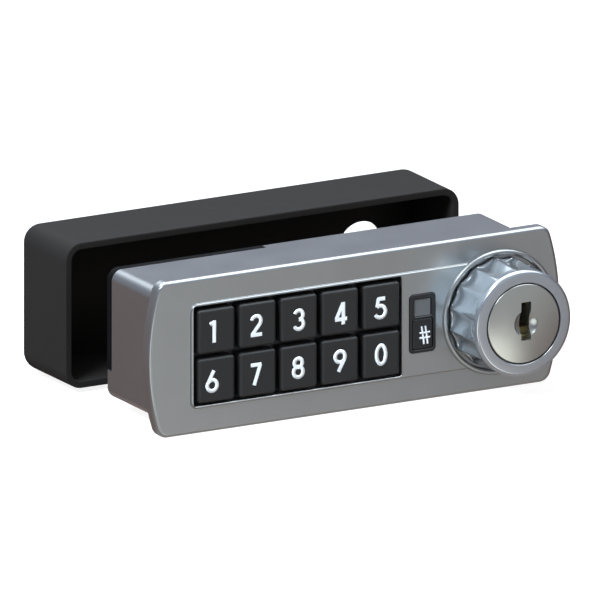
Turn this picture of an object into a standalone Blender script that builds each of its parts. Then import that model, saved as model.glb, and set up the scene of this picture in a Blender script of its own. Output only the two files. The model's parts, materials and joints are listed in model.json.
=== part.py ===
"""Electronic cabinet lock: a keypad lock case with a fluted knob, drawn forward out of its rear tray.

Metres, +Z up, +X to the right as the keypad is read, and the user stands at -Y.
The origin is the centre of the tray's flat back face.
"""

import math

import bmesh
import bpy
from mathutils import Matrix, Vector

# Clearances and overruns
GAP = 0.0003
SLIDE_GAP = 0.0002
OVERRUN = 0.001
WELD = 0.00001
SMOOTH_ANGLE = math.radians(32)

# Tray
TRAY_DEPTH = 0.023
TRAY_WALL = 0.0017
TRAY_CORNER = 0.0044
TRAY_BACK_EDGE = 0.0038
TRAY_RIM_EDGE = 0.0003
TRAY_INSET_X = 0.0025
TRAY_INSET_Z = 0.00125
TRAY_HOLE_RADIUS = 0.006
LIP_GAP = 0.0166

# Case: a flange with bowed ends, and the body behind it that fits the tray
FLANGE_THICKNESS = 0.0031
FLANGE_BOW = 0.0032
FLANGE_CORNER = 0.003
FLANGE_EDGE = 0.0008
BODY_WALL = 0.0016
BODY_CORNER = 0.0028
PLATEAU_HEIGHT = 0.0006
PLATEAU_MARGIN_X = 0.0013
PLATEAU_MARGIN_Z = 0.0006
PLATEAU_CORNER = 0.002
PLATEAU_EDGE = 0.0003
KEYPAD_INSET_X = 0.0119
KEYPAD_INSET_Z = 0.0068
RING_INSET = 0.0019

# Keypad
KEY_COLUMNS = 5
KEY_ROWS = 2
KEY_PITCH_X = 0.0111
KEY_SPACE = 0.0007
KEY_EDGE_X = 0.00025
KEY_EDGE_Z = 0.0003
KEYPAD_CORNER = 0.0006
KEY_BEVEL = 0.0007
KEY_PROUD = 0.0004
KEY_TRAVEL = 0.0008
KEY_STEM_RADIUS = 0.0018
MAT_THICKNESS = 0.0012
MAT_MARGIN = 0.0006

# Hash panel: a window above the hash key
PANEL_LENGTH = 0.007
PANEL_CORNER = 0.001
PANEL_PROUD = 0.0003
PANEL_DEPTH = 0.0034
PANEL_SPACE = 0.002
PANEL_RING_SPACE = 0.0018
PANEL_Z = 0.0001
WINDOW_SIDE = 0.00135
WINDOW_TOP = 0.00125
WINDOW_HEIGHT = 0.0041
WINDOW_THICKNESS = 0.001
WINDOW_SUNK = 0.0002
HASH_SIDE = 0.00085
HASH_TOP = 0.00065
HASH_HEIGHT = 0.0074
HASH_BOTTOM = 0.0008
HASH_STEM_RADIUS = 0.0015

# Circuit board and what stands on it
BOARD_THICKNESS = 0.0012
BOARD_SIDE_GAP = 0.0008
CHIP_SIZE = 0.007
CHIP_THICKNESS = 0.0011
CHIP_SPACE = 0.0044
CHIP_Z = -0.006
BUZZER_RADIUS = 0.0045
BUZZER_DEPTH = 0.003
BUZZER_INSET = 0.0077
BUZZER_Z = 0.0045
BUZZER_PORT_RADIUS = 0.0008
LED_SIZE = 0.0016
LED_DEPTH = 0.001
BOARD_SCREW_RADIUS = 0.0007
BOARD_SCREW_LENGTH = 0.0042
BOARD_SCREW_HEAD_RADIUS = 0.0014
BOARD_SCREW_HEAD = 0.0009
BOARD_BOSS_RADIUS = 0.0018
BOARD_LEFT_SCREW_INSET = 0.0023
BOARD_LEFT_SCREW_RISE = 0.0041
BOARD_RIGHT_SCREW_INSET = 0.0033
BOARD_RIGHT_SCREW_RISE = 0.00365

# Battery, its cradle and its door
CELL_RADIUS = 0.0085
CELL_LENGTH = 0.0345
CELL_NUB_RADIUS = 0.003
CELL_NUB = 0.0008
CELL_ABOVE = 0.00185
CELL_BELOW = 0.00965
CELL_DOOR_GAP = 0.0015
CRADLE_WALL = 0.001
CRADLE_FLOOR = 0.0006
CRADLE_FLOOR_GAP = 0.0004
CONTACT_THICKNESS = 0.0004
CONTACT_SIZE = 0.009
SPRING_SPACE = 0.002
SPRING_WIRE_RADIUS = 0.0002
SPRING_SMALL_RADIUS = 0.0022
SPRING_LARGE_RADIUS = 0.0042
SPRING_TURNS = 2
NOTCH_DEPTH = 0.0022
NOTCH_PAST_CELL = 0.0033
NOTCH_BELOW_CELL = 0.0042
DOOR_SCREW_INSET = 0.0206
DOOR_SCREW_RISE = 0.0024
DOOR_SCREW_RADIUS = 0.0007
DOOR_SCREW_LENGTH = 0.0055
DOOR_SCREW_HEAD_RADIUS = 0.0011
DOOR_SCREW_HEAD = 0.0007
DOOR_POST_RADIUS = 0.0014

# Rear cover
COVER_THICKNESS = 0.0015
COLUMN_RADIUS = 0.0026
COLUMN_INSET = 0.0024
COVER_SCREW_RADIUS = 0.0008
COVER_SCREW_LENGTH = 0.008
COVER_SCREW_HEAD_RADIUS = 0.0017
COVER_SCREW_HEAD = 0.0007

# Shares of a screw's head that its cross recess takes
CROSS_LENGTH_SHARE = 0.6
CROSS_WIDTH_SHARE = 0.16
CROSS_DEPTH_SHARE = 0.45

# Knob, whose radii step down from its base to its key plug and its hub
KNOB_LENGTH = 0.0124
KNOB_BASE_RADIUS = 0.0134
KNOB_BASE_EDGE = 0.0004
KNOB_TAPER = 0.0005
KNOB_FACE_ROUND = 0.0013
KNOB_FACE_WIDTH = 0.00165
KNOB_RING_DEPTH = 0.0019
FLUTES = 15
FLUTE_DEPTH = 0.0008
FLUTE_HALF_WIDTH = 0.0021
HUB_STEP = 0.005
HUB_WALL = 0.0021
HUB_GROOVE_DEPTH = 0.0005
HUB_REACH = 0.0019
LUG_WIDTH = 0.004
LUG_LENGTH = 0.0014
BUSH_WALL = 0.0008
BUSH_FLANGE_WIDTH = 0.0021
BUSH_FLANGE = 0.0008
CLIP_THICKNESS = 0.0006
CLIP_MOUTH_DEGREES = 60
KNOB_CLIP_LAP = 0.0007
RING_GAP = 0.00045
RING_WIDTH = 0.00135
RING_HEIGHT = 0.0013
RING_RECESS = 0.0002

# Key plug and its wafers
PLUG_EDGE = 0.0003
PLUG_HEAD = 0.004
PLUG_TAIL = 0.0018
PLUG_GROOVE_DEPTH = 0.0006
PLUG_CLIP_LAP = 0.0016
KEYWAY_WIDTH = 0.00265
KEYWAY_X = 0.00067
KEYWAY_TOP_LAND = 0.0008
KEYWAY_BOTTOM_LAND = 0.0019
KEYWAY_DEPTH = 0.018
DISH_RADIUS = 0.0032
DISH_DEPTH = 0.0013
WAFERS = 4
WAFER_PITCH = 0.0024
WAFER_FIRST = 0.0062
WAFER_THICKNESS = 0.0007
WAFER_WIDTH = 0.0054
WAFER_END_ROOM = 0.001
WAFER_LAND = 0.0018
WAFER_KEY_ROOM = 0.00055

# Drive plate, spindle and clutch
DRIVE_PLATE_THICKNESS = 0.0015
DRIVE_PLATE_ROOM = 0.0009
LOBE_RADIUS = 0.0022
LOBE_ROOM = 0.00085
PIN_RADIUS = 0.001
PIN_HEAD_RADIUS = 0.0017
PIN_HEAD = 0.0008
SPINDLE_FLANGE_RADIUS = 0.006
SPINDLE_FLANGE = 0.002
SPINDLE_RADIUS = 0.004
SPINDLE_SQUARE = 0.0056
SPINDLE_SQUARE_LENGTH = 0.0052
SPINDLE_REACH = 0.0244
SPINDLE_GROOVE_DEPTH = 0.0005
SPINDLE_CLIP_LAP = 0.0016
SPINDLE_THREAD_RADIUS = 0.00165
SPINDLE_THREAD_DEPTH = 0.009
REAR_BUSH_WALL = 0.0014
REAR_BUSH_FLANGE_WIDTH = 0.0018
REAR_BUSH_FLANGE = 0.001
CLUTCH_SPRING_LENGTH = 0.0049
CLUTCH_SPRING_RADIUS = 0.0015
CLUTCH_SPRING_TURNS = 4
YOKE_THICKNESS = 0.0015
YOKE_LAP = 0.0018
YOKE_START_DEGREES = 78
YOKE_END_DEGREES = 192
NUT_RADIUS = 0.0029
NUT_THICKNESS = 0.0025
GUIDE_OUT = 0.0017
GUIDE_DEGREES = 165
GUIDE_EAR_RADIUS = 0.0022
GUIDE_POST_RADIUS = 0.0009
GUIDE_POST_REACH = 0.012

# Clutch motor
MOTOR_RADIUS = 0.0035
MOTOR_LENGTH = 0.010
MOTOR_WALL_GAP = 0.0007
MOTOR_SHAFT_RADIUS = 0.0005
MOTOR_SHAFT_LENGTH = 0.0027
BRACKET_DEPTH = 0.0066
BRACKET_WALL = 0.0004
BRACKET_TUCK = 0.0002
BRACKET_FOOT_GAP = 0.00125
SCREW_RADIUS = 0.0014
SCREW_THREAD_DEPTH = 0.0003
SCREW_LENGTH = 0.009
SCREW_PITCH = 0.001
SCREW_SOCKET_DEPTH = 0.0028

# Heights follow from the battery cell, which the case is built round
CAVITY_HEIGHT = CELL_ABOVE + 2 * CELL_RADIUS + CELL_BELOW
BODY_HEIGHT = CAVITY_HEIGHT + 2 * BODY_WALL
TRAY_HEIGHT = BODY_HEIGHT + 2 * SLIDE_GAP + 2 * TRAY_WALL
FLANGE_HEIGHT = TRAY_HEIGHT + 2 * TRAY_INSET_Z
KEYPAD_HEIGHT = FLANGE_HEIGHT - 2 * KEYPAD_INSET_Z
KEY_PITCH_Z = (KEYPAD_HEIGHT - 2 * KEY_EDGE_Z) / KEY_ROWS
PANEL_HEIGHT = WINDOW_TOP + WINDOW_HEIGHT + HASH_TOP + HASH_HEIGHT + HASH_BOTTOM

# Lengths follow from the row on the flange: keypad, hash panel and the ring round the knob
KEYPAD_LENGTH = KEY_COLUMNS * KEY_PITCH_X + 2 * KEY_EDGE_X
RING_INNER = KNOB_BASE_RADIUS + RING_GAP
RING_OUTER = RING_INNER + RING_WIDTH
PANEL_ROOM = PANEL_SPACE + PANEL_LENGTH + PANEL_RING_SPACE
FLANGE_LENGTH = KEYPAD_INSET_X + KEYPAD_LENGTH + PANEL_ROOM + 2 * RING_OUTER + RING_INSET
TRAY_LENGTH = FLANGE_LENGTH - 2 * TRAY_INSET_X
BODY_LENGTH = TRAY_LENGTH - 2 * TRAY_WALL - 2 * SLIDE_GAP
CAVITY_LENGTH = BODY_LENGTH - 2 * BODY_WALL
CAVITY_CORNER = BODY_CORNER - BODY_WALL
CAVITY_LEFT = -CAVITY_LENGTH / 2
CAVITY_RIGHT = CAVITY_LENGTH / 2
CAVITY_TOP = CAVITY_HEIGHT / 2
KEYPAD_LEFT = KEYPAD_INSET_X - FLANGE_LENGTH / 2
KEYPAD_X = KEYPAD_LEFT + KEYPAD_LENGTH / 2
KEY_LENGTH = KEY_PITCH_X - KEY_SPACE
KEY_HEIGHT = KEY_PITCH_Z - KEY_SPACE
PANEL_X = KEYPAD_LEFT + KEYPAD_LENGTH + PANEL_SPACE + PANEL_LENGTH / 2
WINDOW_LENGTH = PANEL_LENGTH - 2 * WINDOW_SIDE
WINDOW_Z = PANEL_Z + PANEL_HEIGHT / 2 - WINDOW_TOP - WINDOW_HEIGHT / 2
HASH_LENGTH = PANEL_LENGTH - 2 * HASH_SIDE
HASH_Z = PANEL_Z - PANEL_HEIGHT / 2 + HASH_BOTTOM + HASH_HEIGHT / 2
KNOB_X = FLANGE_LENGTH / 2 - RING_INSET - RING_OUTER

# Radii about the knob's axis
KNOB_RING_RADIUS = KNOB_BASE_RADIUS - KNOB_TAPER
KNOB_FACE_RADIUS = KNOB_RING_RADIUS - KNOB_FACE_ROUND
PLUG_BORE_RADIUS = KNOB_FACE_RADIUS - KNOB_FACE_WIDTH
PLUG_RADIUS = PLUG_BORE_RADIUS - GAP
HUB_RADIUS = KNOB_BASE_RADIUS - HUB_STEP
HUB_BORE_RADIUS = HUB_RADIUS - HUB_WALL
LUG_INNER = HUB_BORE_RADIUS + GAP
LUG_OUTER = HUB_RADIUS - GAP
BUSH_INNER = HUB_RADIUS + GAP
BUSH_OUTER = BUSH_INNER + BUSH_WALL
BUSH_FLANGE_RADIUS = BUSH_OUTER + BUSH_FLANGE_WIDTH
KNOB_CLIP_RADIUS = BUSH_OUTER + KNOB_CLIP_LAP
CORE_RADIUS = HUB_BORE_RADIUS - GAP
PLUG_CLIP_RADIUS = CORE_RADIUS + PLUG_CLIP_LAP
KEYWAY_HEIGHT = 2 * CORE_RADIUS - KEYWAY_TOP_LAND - KEYWAY_BOTTOM_LAND
KEYWAY_Z = (KEYWAY_BOTTOM_LAND - KEYWAY_TOP_LAND) / 2
WAFER_HEIGHT = 2 * CORE_RADIUS - 2 * WAFER_END_ROOM
WAFER_SLOT_WIDTH = WAFER_WIDTH + 2 * GAP
WAFER_HOLE_WIDTH = KEYWAY_WIDTH + WAFER_KEY_ROOM
WAFER_HOLE_HEIGHT = WAFER_HEIGHT - 2 * WAFER_LAND
DRIVE_PLATE_RADIUS = CAVITY_RIGHT - KNOB_X - DRIVE_PLATE_ROOM
PIN_ORBIT = CAVITY_TOP - LOBE_ROOM - LOBE_RADIUS
SPINDLE_CLIP_RADIUS = SPINDLE_RADIUS + SPINDLE_CLIP_LAP
REAR_BUSH_INNER = SPINDLE_RADIUS + GAP
REAR_BUSH_OUTER = REAR_BUSH_INNER + REAR_BUSH_WALL
REAR_BUSH_FLANGE_RADIUS = REAR_BUSH_OUTER + REAR_BUSH_FLANGE_WIDTH
YOKE_INNER = PIN_ORBIT - YOKE_LAP
YOKE_OUTER = PIN_ORBIT + LOBE_RADIUS
GUIDE_ORBIT = YOKE_OUTER + GUIDE_OUT
GUIDE_X = KNOB_X + GUIDE_ORBIT * math.cos(math.radians(GUIDE_DEGREES))
GUIDE_Z = GUIDE_ORBIT * math.sin(math.radians(GUIDE_DEGREES))

# The inside, between the battery at the left and the knob at the right
BRACKET_BORE = MOTOR_RADIUS + GAP
BRACKET_HALF = BRACKET_BORE + BRACKET_WALL
MOTOR_X = KNOB_X - DRIVE_PLATE_RADIUS - BRACKET_HALF + BRACKET_TUCK
MOTOR_Z = BRACKET_HALF + BRACKET_FOOT_GAP - CAVITY_TOP
BOARD_RIGHT = MOTOR_X - BRACKET_HALF - BOARD_SIDE_GAP
CRADLE_LEFT = CAVITY_LEFT + GAP
CONTACT_LEFT = CRADLE_LEFT + CRADLE_WALL + GAP
CELL_LEFT = CONTACT_LEFT + CONTACT_THICKNESS + GAP
CELL_RIGHT = CELL_LEFT + CELL_LENGTH
CELL_Z = CAVITY_TOP - CELL_ABOVE - CELL_RADIUS
TROUGH_RADIUS = CELL_RADIUS + GAP
CRADLE_RIGHT = CELL_RIGHT + SPRING_SPACE + CRADLE_WALL
CHIP_X = CRADLE_RIGHT + CHIP_SPACE + CHIP_SIZE / 2
BUZZER_X = BOARD_RIGHT - BUZZER_INSET
NOTCH_RIGHT = CELL_RIGHT + NOTCH_PAST_CELL
NOTCH_BOTTOM = CELL_Z - CELL_RADIUS - NOTCH_BELOW_CELL
DOOR_SCREW_PLACE = (NOTCH_RIGHT - DOOR_SCREW_INSET, NOTCH_BOTTOM + DOOR_SCREW_RISE)
BOARD_SCREW_PLACES = {
    "board_screw_1": (CAVITY_LEFT + BOARD_LEFT_SCREW_INSET, CELL_Z + BOARD_LEFT_SCREW_RISE),
    "board_screw_2": (BOARD_RIGHT - BOARD_RIGHT_SCREW_INSET, BOARD_RIGHT_SCREW_RISE - CAVITY_TOP),
}
COVER_SCREW_PLACES = {
    "cover_screw_1": (CAVITY_LEFT + COLUMN_INSET, COLUMN_INSET - CAVITY_TOP),
    "cover_screw_2": (CAVITY_RIGHT - COLUMN_INSET, COLUMN_INSET - CAVITY_TOP),
    "cover_screw_3": (CAVITY_RIGHT - COLUMN_INSET, CAVITY_TOP - COLUMN_INSET),
    "cover_screw_4": (BOARD_RIGHT + BOARD_SIDE_GAP + COLUMN_RADIUS, CAVITY_TOP - COLUMN_INSET),
}

# Depths, from the tray forward and then back from the case's front wall
STACK_DEPTH = GAP + MAT_THICKNESS + GAP + BOARD_THICKNESS + CRADLE_FLOOR_GAP
BODY_DEPTH = STACK_DEPTH + CRADLE_FLOOR + 2 * CELL_RADIUS + CELL_DOOR_GAP + NOTCH_DEPTH
TRAY_RIM_Y = -TRAY_DEPTH
LIP_Y = TRAY_RIM_Y - LIP_GAP
WALL_Y = LIP_Y - BODY_DEPTH
FLANGE_Y = WALL_Y - FLANGE_THICKNESS
PLATEAU_Y = FLANGE_Y - PLATEAU_HEIGHT
COVER_Y = LIP_Y - COVER_THICKNESS
MAT_Y = WALL_Y + GAP
MAT_BACK_Y = MAT_Y + MAT_THICKNESS
BOARD_Y = MAT_BACK_Y + GAP
BOARD_BACK_Y = BOARD_Y + BOARD_THICKNESS
CRADLE_Y = BOARD_BACK_Y + CRADLE_FLOOR_GAP
DOOR_Y = LIP_Y - NOTCH_DEPTH + GAP
CELL_Y = DOOR_Y - CELL_DOOR_GAP - CELL_RADIUS
KEY_Y = PLATEAU_Y - KEY_PROUD
KEY_BACK_Y = MAT_Y - GAP - KEY_TRAVEL
STEM_END_Y = BOARD_Y - GAP - KEY_TRAVEL
PANEL_Y = PLATEAU_Y - PANEL_PROUD
KNOB_BASE_Y = FLANGE_Y - GAP
KNOB_FACE_Y = KNOB_BASE_Y - KNOB_LENGTH
BUSH_Y = KNOB_BASE_Y + 2 * GAP
HUB_END_Y = WALL_Y + HUB_REACH
KNOB_CLIP_Y = WALL_Y + GAP
DRIVE_PLATE_Y = HUB_END_Y + GAP
DRIVE_PLATE_BACK_Y = DRIVE_PLATE_Y + DRIVE_PLATE_THICKNESS
PLUG_CLIP_Y = DRIVE_PLATE_BACK_Y + GAP
PLUG_END_Y = DRIVE_PLATE_BACK_Y + PLUG_TAIL
SPINDLE_Y = PLUG_END_Y + GAP
SPINDLE_FLANGE_BACK_Y = SPINDLE_Y + SPINDLE_FLANGE
SPINDLE_END_Y = LIP_Y + SPINDLE_REACH
SPINDLE_CLIP_Y = LIP_Y + GAP
PIN_NOSE_Y = DRIVE_PLATE_BACK_Y + GAP
CLUTCH_SPRING_Y = SPINDLE_FLANGE_BACK_Y + GAP
PIN_HEAD_Y = CLUTCH_SPRING_Y + CLUTCH_SPRING_LENGTH + GAP
PIN_END_Y = PIN_HEAD_Y + PIN_HEAD
YOKE_Y = PIN_END_Y + GAP
YOKE_BACK_Y = YOKE_Y + YOKE_THICKNESS
MOTOR_Y = WALL_Y + MOTOR_WALL_GAP
MOTOR_BACK_Y = MOTOR_Y + MOTOR_LENGTH

# Counts of facets
FINE = 45
ROUND = 24
SMALL = 12
CORNER_STEPS = 5
EDGE_STEPS = 2
BOW_STEPS = 8
THREAD_STEPS = 10

for old in list(bpy.data.objects):
    bpy.data.objects.remove(old, do_unlink=True)


def collection(name):
    """A new collection in the scene."""
    group = bpy.data.collections.new(name)
    bpy.context.scene.collection.children.link(group)
    return group


PARTS = collection("cabinet_lock")
CUTTERS = collection("cutters")


def finish(name, colour, roughness, metallic):
    """A plain Principled material."""
    material = bpy.data.materials.new(name)
    material.use_nodes = True
    shader = material.node_tree.nodes["Principled BSDF"]
    shader.inputs["Base Color"].default_value = (*colour, 1)
    shader.inputs["Roughness"].default_value = roughness
    shader.inputs["Metallic"].default_value = metallic
    return material


def add_object(name, mesh):
    """Put a mesh in the parts collection as a named object."""
    piece = bpy.data.objects.new(name, mesh)
    PARTS.objects.link(piece)
    return piece


def block(name, low, high):
    """A box between two corners."""
    mesh = bpy.data.meshes.new(name)
    shape = bmesh.new()
    bmesh.ops.create_cube(shape, size=1)
    size = Vector(high) - Vector(low)
    middle = (Vector(high) + Vector(low)) / 2
    stretch = Matrix.Diagonal((*size, 1))
    bmesh.ops.transform(shape, matrix=Matrix.Translation(middle) @ stretch, verts=shape.verts)
    shape.to_mesh(mesh)
    shape.free()
    return add_object(name, mesh)


def rod(name, radius, place, y_front, y_back, steps=ROUND):
    """A cylinder along Y, centred on place, an X and a Z."""
    mesh = bpy.data.meshes.new(name)
    shape = bmesh.new()
    bmesh.ops.create_cone(shape, cap_ends=True, segments=steps, radius1=radius, radius2=radius,
                          depth=y_back - y_front)
    turn = Matrix.Rotation(math.radians(90), 4, "X")
    move = Matrix.Translation((place[0], (y_front + y_back) / 2, place[1]))
    bmesh.ops.transform(shape, matrix=move @ turn, verts=shape.verts)
    shape.to_mesh(mesh)
    shape.free()
    return add_object(name, mesh)


def settle(piece):
    """Turn a piece's modifiers into plain mesh, smooth wherever its faces nearly meet."""
    graph = bpy.context.evaluated_depsgraph_get()
    mesh = bpy.data.meshes.new_from_object(piece.evaluated_get(graph))
    piece.modifiers.clear()
    piece.data = mesh
    mesh.shade_smooth()
    mesh.set_sharp_from_angle(angle=SMOOTH_ANGLE)


def turned(name, profile, place, steps=FINE):
    """A closed profile of radius and Y pairs, turned about the Y line through place.

    It runs out along the front, back along the outer side and in again.
    """
    mesh = bpy.data.meshes.new(name)
    points = [(radius, 0, -y) for radius, y in profile]
    last = len(points)
    mesh.from_pydata(points, [(i, (i + 1) % last) for i in range(last)], [])
    piece = add_object(name, mesh)
    screw = piece.modifiers.new("turn", "SCREW")
    screw.steps = steps
    screw.render_steps = steps
    screw.use_merge_vertices = True
    screw.merge_threshold = WELD
    settle(piece)
    piece.data.transform(Matrix.Rotation(math.radians(90), 4, "X"))
    piece.location = (place[0], 0, place[1])
    return piece


def curve_to_mesh(piece):
    """Swap a curve object for a closed mesh object of the same name and place."""
    graph = bpy.context.evaluated_depsgraph_get()
    mesh = bpy.data.meshes.new_from_object(piece.evaluated_get(graph))
    shape = bmesh.new()
    shape.from_mesh(mesh)
    bmesh.ops.remove_doubles(shape, verts=shape.verts, dist=WELD)
    bmesh.ops.transform(shape, matrix=piece.matrix_basis, verts=shape.verts)
    shape.to_mesh(mesh)
    shape.free()
    name = piece.name
    bpy.data.objects.remove(piece, do_unlink=True)
    return add_object(name, mesh)


def flat(name, outlines, y_front, y_back):
    """A flat piece in the XZ plane: the first outline is its edge and the others are holes."""
    curve = bpy.data.curves.new(name, "CURVE")
    curve.dimensions = "2D"
    curve.fill_mode = "BOTH"
    curve.extrude = (y_back - y_front) / 2
    for outline in outlines:
        spline = curve.splines.new("POLY")
        spline.points.add(len(outline) - 1)
        for point, (x, z) in zip(spline.points, outline):
            point.co = (x, z, 0, 1)
        spline.use_cyclic_u = True
    piece = add_object(name, curve)
    piece.rotation_euler.x = math.radians(90)
    piece.location.y = (y_front + y_back) / 2
    return curve_to_mesh(piece)


def coil(name, route, wire_radius):
    """A round wire along a list of points."""
    curve = bpy.data.curves.new(name, "CURVE")
    curve.dimensions = "3D"
    curve.bevel_depth = wire_radius
    curve.bevel_resolution = 1
    curve.use_fill_caps = True
    spline = curve.splines.new("POLY")
    spline.points.add(len(route) - 1)
    for point, place in zip(spline.points, route):
        point.co = (*place, 1)
    return curve_to_mesh(add_object(name, curve))


def arc(centre, radius, start, end, steps):
    """Points along an arc, in degrees, both ends included."""
    angles = [math.radians(start + (end - start) * i / steps) for i in range(steps + 1)]
    return [(centre[0] + radius * math.cos(a), centre[1] + radius * math.sin(a)) for a in angles]


def circle(centre, radius, steps=ROUND):
    """The outline of a full circle."""
    return arc(centre, radius, 0, 360, steps)[:-1]


def rounded(length, height, corner, centre=(0, 0)):
    """The outline of a rectangle with round corners."""
    half_x = length / 2 - corner
    half_z = height / 2 - corner
    outline = []
    for quarter, (side_x, side_z) in enumerate(((1, 1), (-1, 1), (-1, -1), (1, -1))):
        middle = (centre[0] + side_x * half_x, centre[1] + side_z * half_z)
        outline += arc(middle, corner, 90 * quarter, 90 * quarter + 90, CORNER_STEPS)
    return outline


def flange_outline():
    """A rectangle with round corners and ends that bow outwards."""
    half_height = FLANGE_HEIGHT / 2
    bow_radius = (half_height ** 2 + FLANGE_BOW ** 2) / (2 * FLANGE_BOW)
    bow_centre = FLANGE_LENGTH / 2 - bow_radius
    corner_z = half_height - FLANGE_CORNER
    reach = bow_radius - FLANGE_CORNER
    corner_x = bow_centre + math.sqrt(reach ** 2 - corner_z ** 2)
    meet = math.degrees(math.asin(corner_z / reach))
    right = arc((corner_x, -corner_z), FLANGE_CORNER, -90, -meet, CORNER_STEPS)
    right += arc((bow_centre, 0), bow_radius, -meet, meet, BOW_STEPS)[1:-1]
    right += arc((corner_x, corner_z), FLANGE_CORNER, meet, 90, CORNER_STEPS)
    left = [(-x, -z) for x, z in right]
    return right + left


def round_edges(piece, y, width, steps=EDGE_STEPS):
    """Round the edges of a piece that lie in the plane at Y."""
    shape = bmesh.new()
    shape.from_mesh(piece.data)
    edges = []
    for edge in shape.edges:
        in_plane = all(abs(vert.co.y - y) < WELD for vert in edge.verts)
        flat_pair = len(edge.link_faces) == 2 and edge.calc_face_angle() < SMOOTH_ANGLE
        if in_plane and not flat_pair:
            edges.append(edge)
    bmesh.ops.bevel(shape, geom=edges, offset=width, offset_type="OFFSET", segments=steps, profile=0.5,
                    affect="EDGES", clamp_overlap=True)
    shape.to_mesh(piece.data)
    shape.free()
    return piece


def tool(piece, target, operation):
    """Use one piece on another with a Boolean, and put it away with the cutters."""
    boolean = target.modifiers.new(piece.name, "BOOLEAN")
    boolean.operation = operation
    boolean.object = piece
    PARTS.objects.unlink(piece)
    CUTTERS.objects.link(piece)
    piece.hide_render = True
    piece.display_type = "WIRE"


def cut(target, *pieces):
    """Cut pieces out of a target."""
    for piece in pieces:
        tool(piece, target, "DIFFERENCE")


def join(target, *pieces):
    """Join pieces to a target as one solid."""
    for piece in pieces:
        tool(piece, target, "UNION")


def dress(piece, material):
    """Settle a piece and give it its material."""
    settle(piece)
    piece.data.materials.clear()
    piece.data.materials.append(material)
    return piece


def hang(pieces, name, place):
    """Parent pieces to an empty on their joint's axis."""
    axis = bpy.data.objects.new(name, None)
    PARTS.objects.link(axis)
    axis.location = place
    for piece in pieces:
        piece.parent = axis
        piece.matrix_parent_inverse = Matrix.Translation(-axis.location)


def screw(name, place, head_y, head, head_radius, radius, length, material):
    """A screw driven forwards, with a cross recess in its head, whose outer face lies at head_y."""
    piece = rod(name, head_radius, place, head_y - head, head_y, SMALL)
    join(piece, rod(name + "_shank", radius, place, head_y - head - length, head_y - head / 2, SMALL))
    half_arm = head_radius * CROSS_LENGTH_SHARE
    half_slot = head_radius * CROSS_WIDTH_SHARE
    floor = head_y - head * CROSS_DEPTH_SHARE
    for label, half_x, half_z in (("_cross_a", half_arm, half_slot), ("_cross_b", half_slot, half_arm)):
        low = (place[0] - half_x, floor, place[1] - half_z)
        high = (place[0] + half_x, head_y + OVERRUN, place[1] + half_z)
        cut(piece, block(name + label, low, high))
    return dress(piece, material)


def circlip(name, inner, outer, place, y_front, material):
    """A flat ring with its mouth at the bottom."""
    half = CLIP_MOUTH_DEGREES / 2
    outline = arc(place, outer, half - 90, 270 - half, ROUND)
    outline += arc(place, inner, 270 - half, half - 90, ROUND)
    return dress(flat(name, [outline], y_front, y_front + CLIP_THICKNESS), material)


SATIN_SILVER = finish("satin_silver", (0.24, 0.25, 0.26), 0.42, 0.6)
PLATED_SILVER = finish("plated_silver", (0.42, 0.45, 0.50), 0.25, 0.9)
PLUG_METAL = finish("plug_metal", (0.30, 0.31, 0.28), 0.3, 0.85)
BLACK_PLASTIC = finish("black_plastic", (0.02, 0.021, 0.022), 0.5, 0)
KEY_RUBBER = finish("key_rubber", (0.033, 0.034, 0.036), 0.55, 0)
PANEL_PLASTIC = finish("panel_plastic", (0.02, 0.02, 0.022), 0.35, 0)
SMOKED_PLASTIC = finish("smoked_plastic", (0.13, 0.13, 0.14), 0.2, 0)
GREY_RUBBER = finish("grey_rubber", (0.08, 0.08, 0.085), 0.7, 0)
BOARD_GREEN = finish("board_green", (0.02, 0.10, 0.04), 0.4, 0)
CHIP_BLACK = finish("chip_black", (0.015, 0.015, 0.016), 0.5, 0)
BRIGHT_STEEL = finish("bright_steel", (0.45, 0.45, 0.46), 0.3, 1)
BRASS = finish("brass", (0.6, 0.42, 0.16), 0.35, 1)
CELL_WRAP = finish("cell_wrap", (0.10, 0.12, 0.30), 0.35, 0)
LED_CLEAR = finish("led_clear", (0.7, 0.75, 0.7), 0.15, 0)
WHITE_NYLON = finish("white_nylon", (0.6, 0.6, 0.57), 0.45, 0)

# Rear tray: a deep cup with a hole for the spindle
tray = flat("rear_tray", [rounded(TRAY_LENGTH, TRAY_HEIGHT, TRAY_CORNER)], TRAY_RIM_Y, 0)
round_edges(tray, 0, TRAY_BACK_EDGE, CORNER_STEPS)
round_edges(tray, TRAY_RIM_Y, TRAY_RIM_EDGE, 1)
tray_inside = rounded(TRAY_LENGTH - 2 * TRAY_WALL, TRAY_HEIGHT - 2 * TRAY_WALL, TRAY_CORNER - TRAY_WALL)
cut(tray, flat("tray_inside", [tray_inside], TRAY_RIM_Y - OVERRUN, -TRAY_WALL),
    rod("tray_hole", TRAY_HOLE_RADIUS, (KNOB_X, 0), -TRAY_WALL - OVERRUN, OVERRUN, FINE))
dress(tray, BLACK_PLASTIC)

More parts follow.
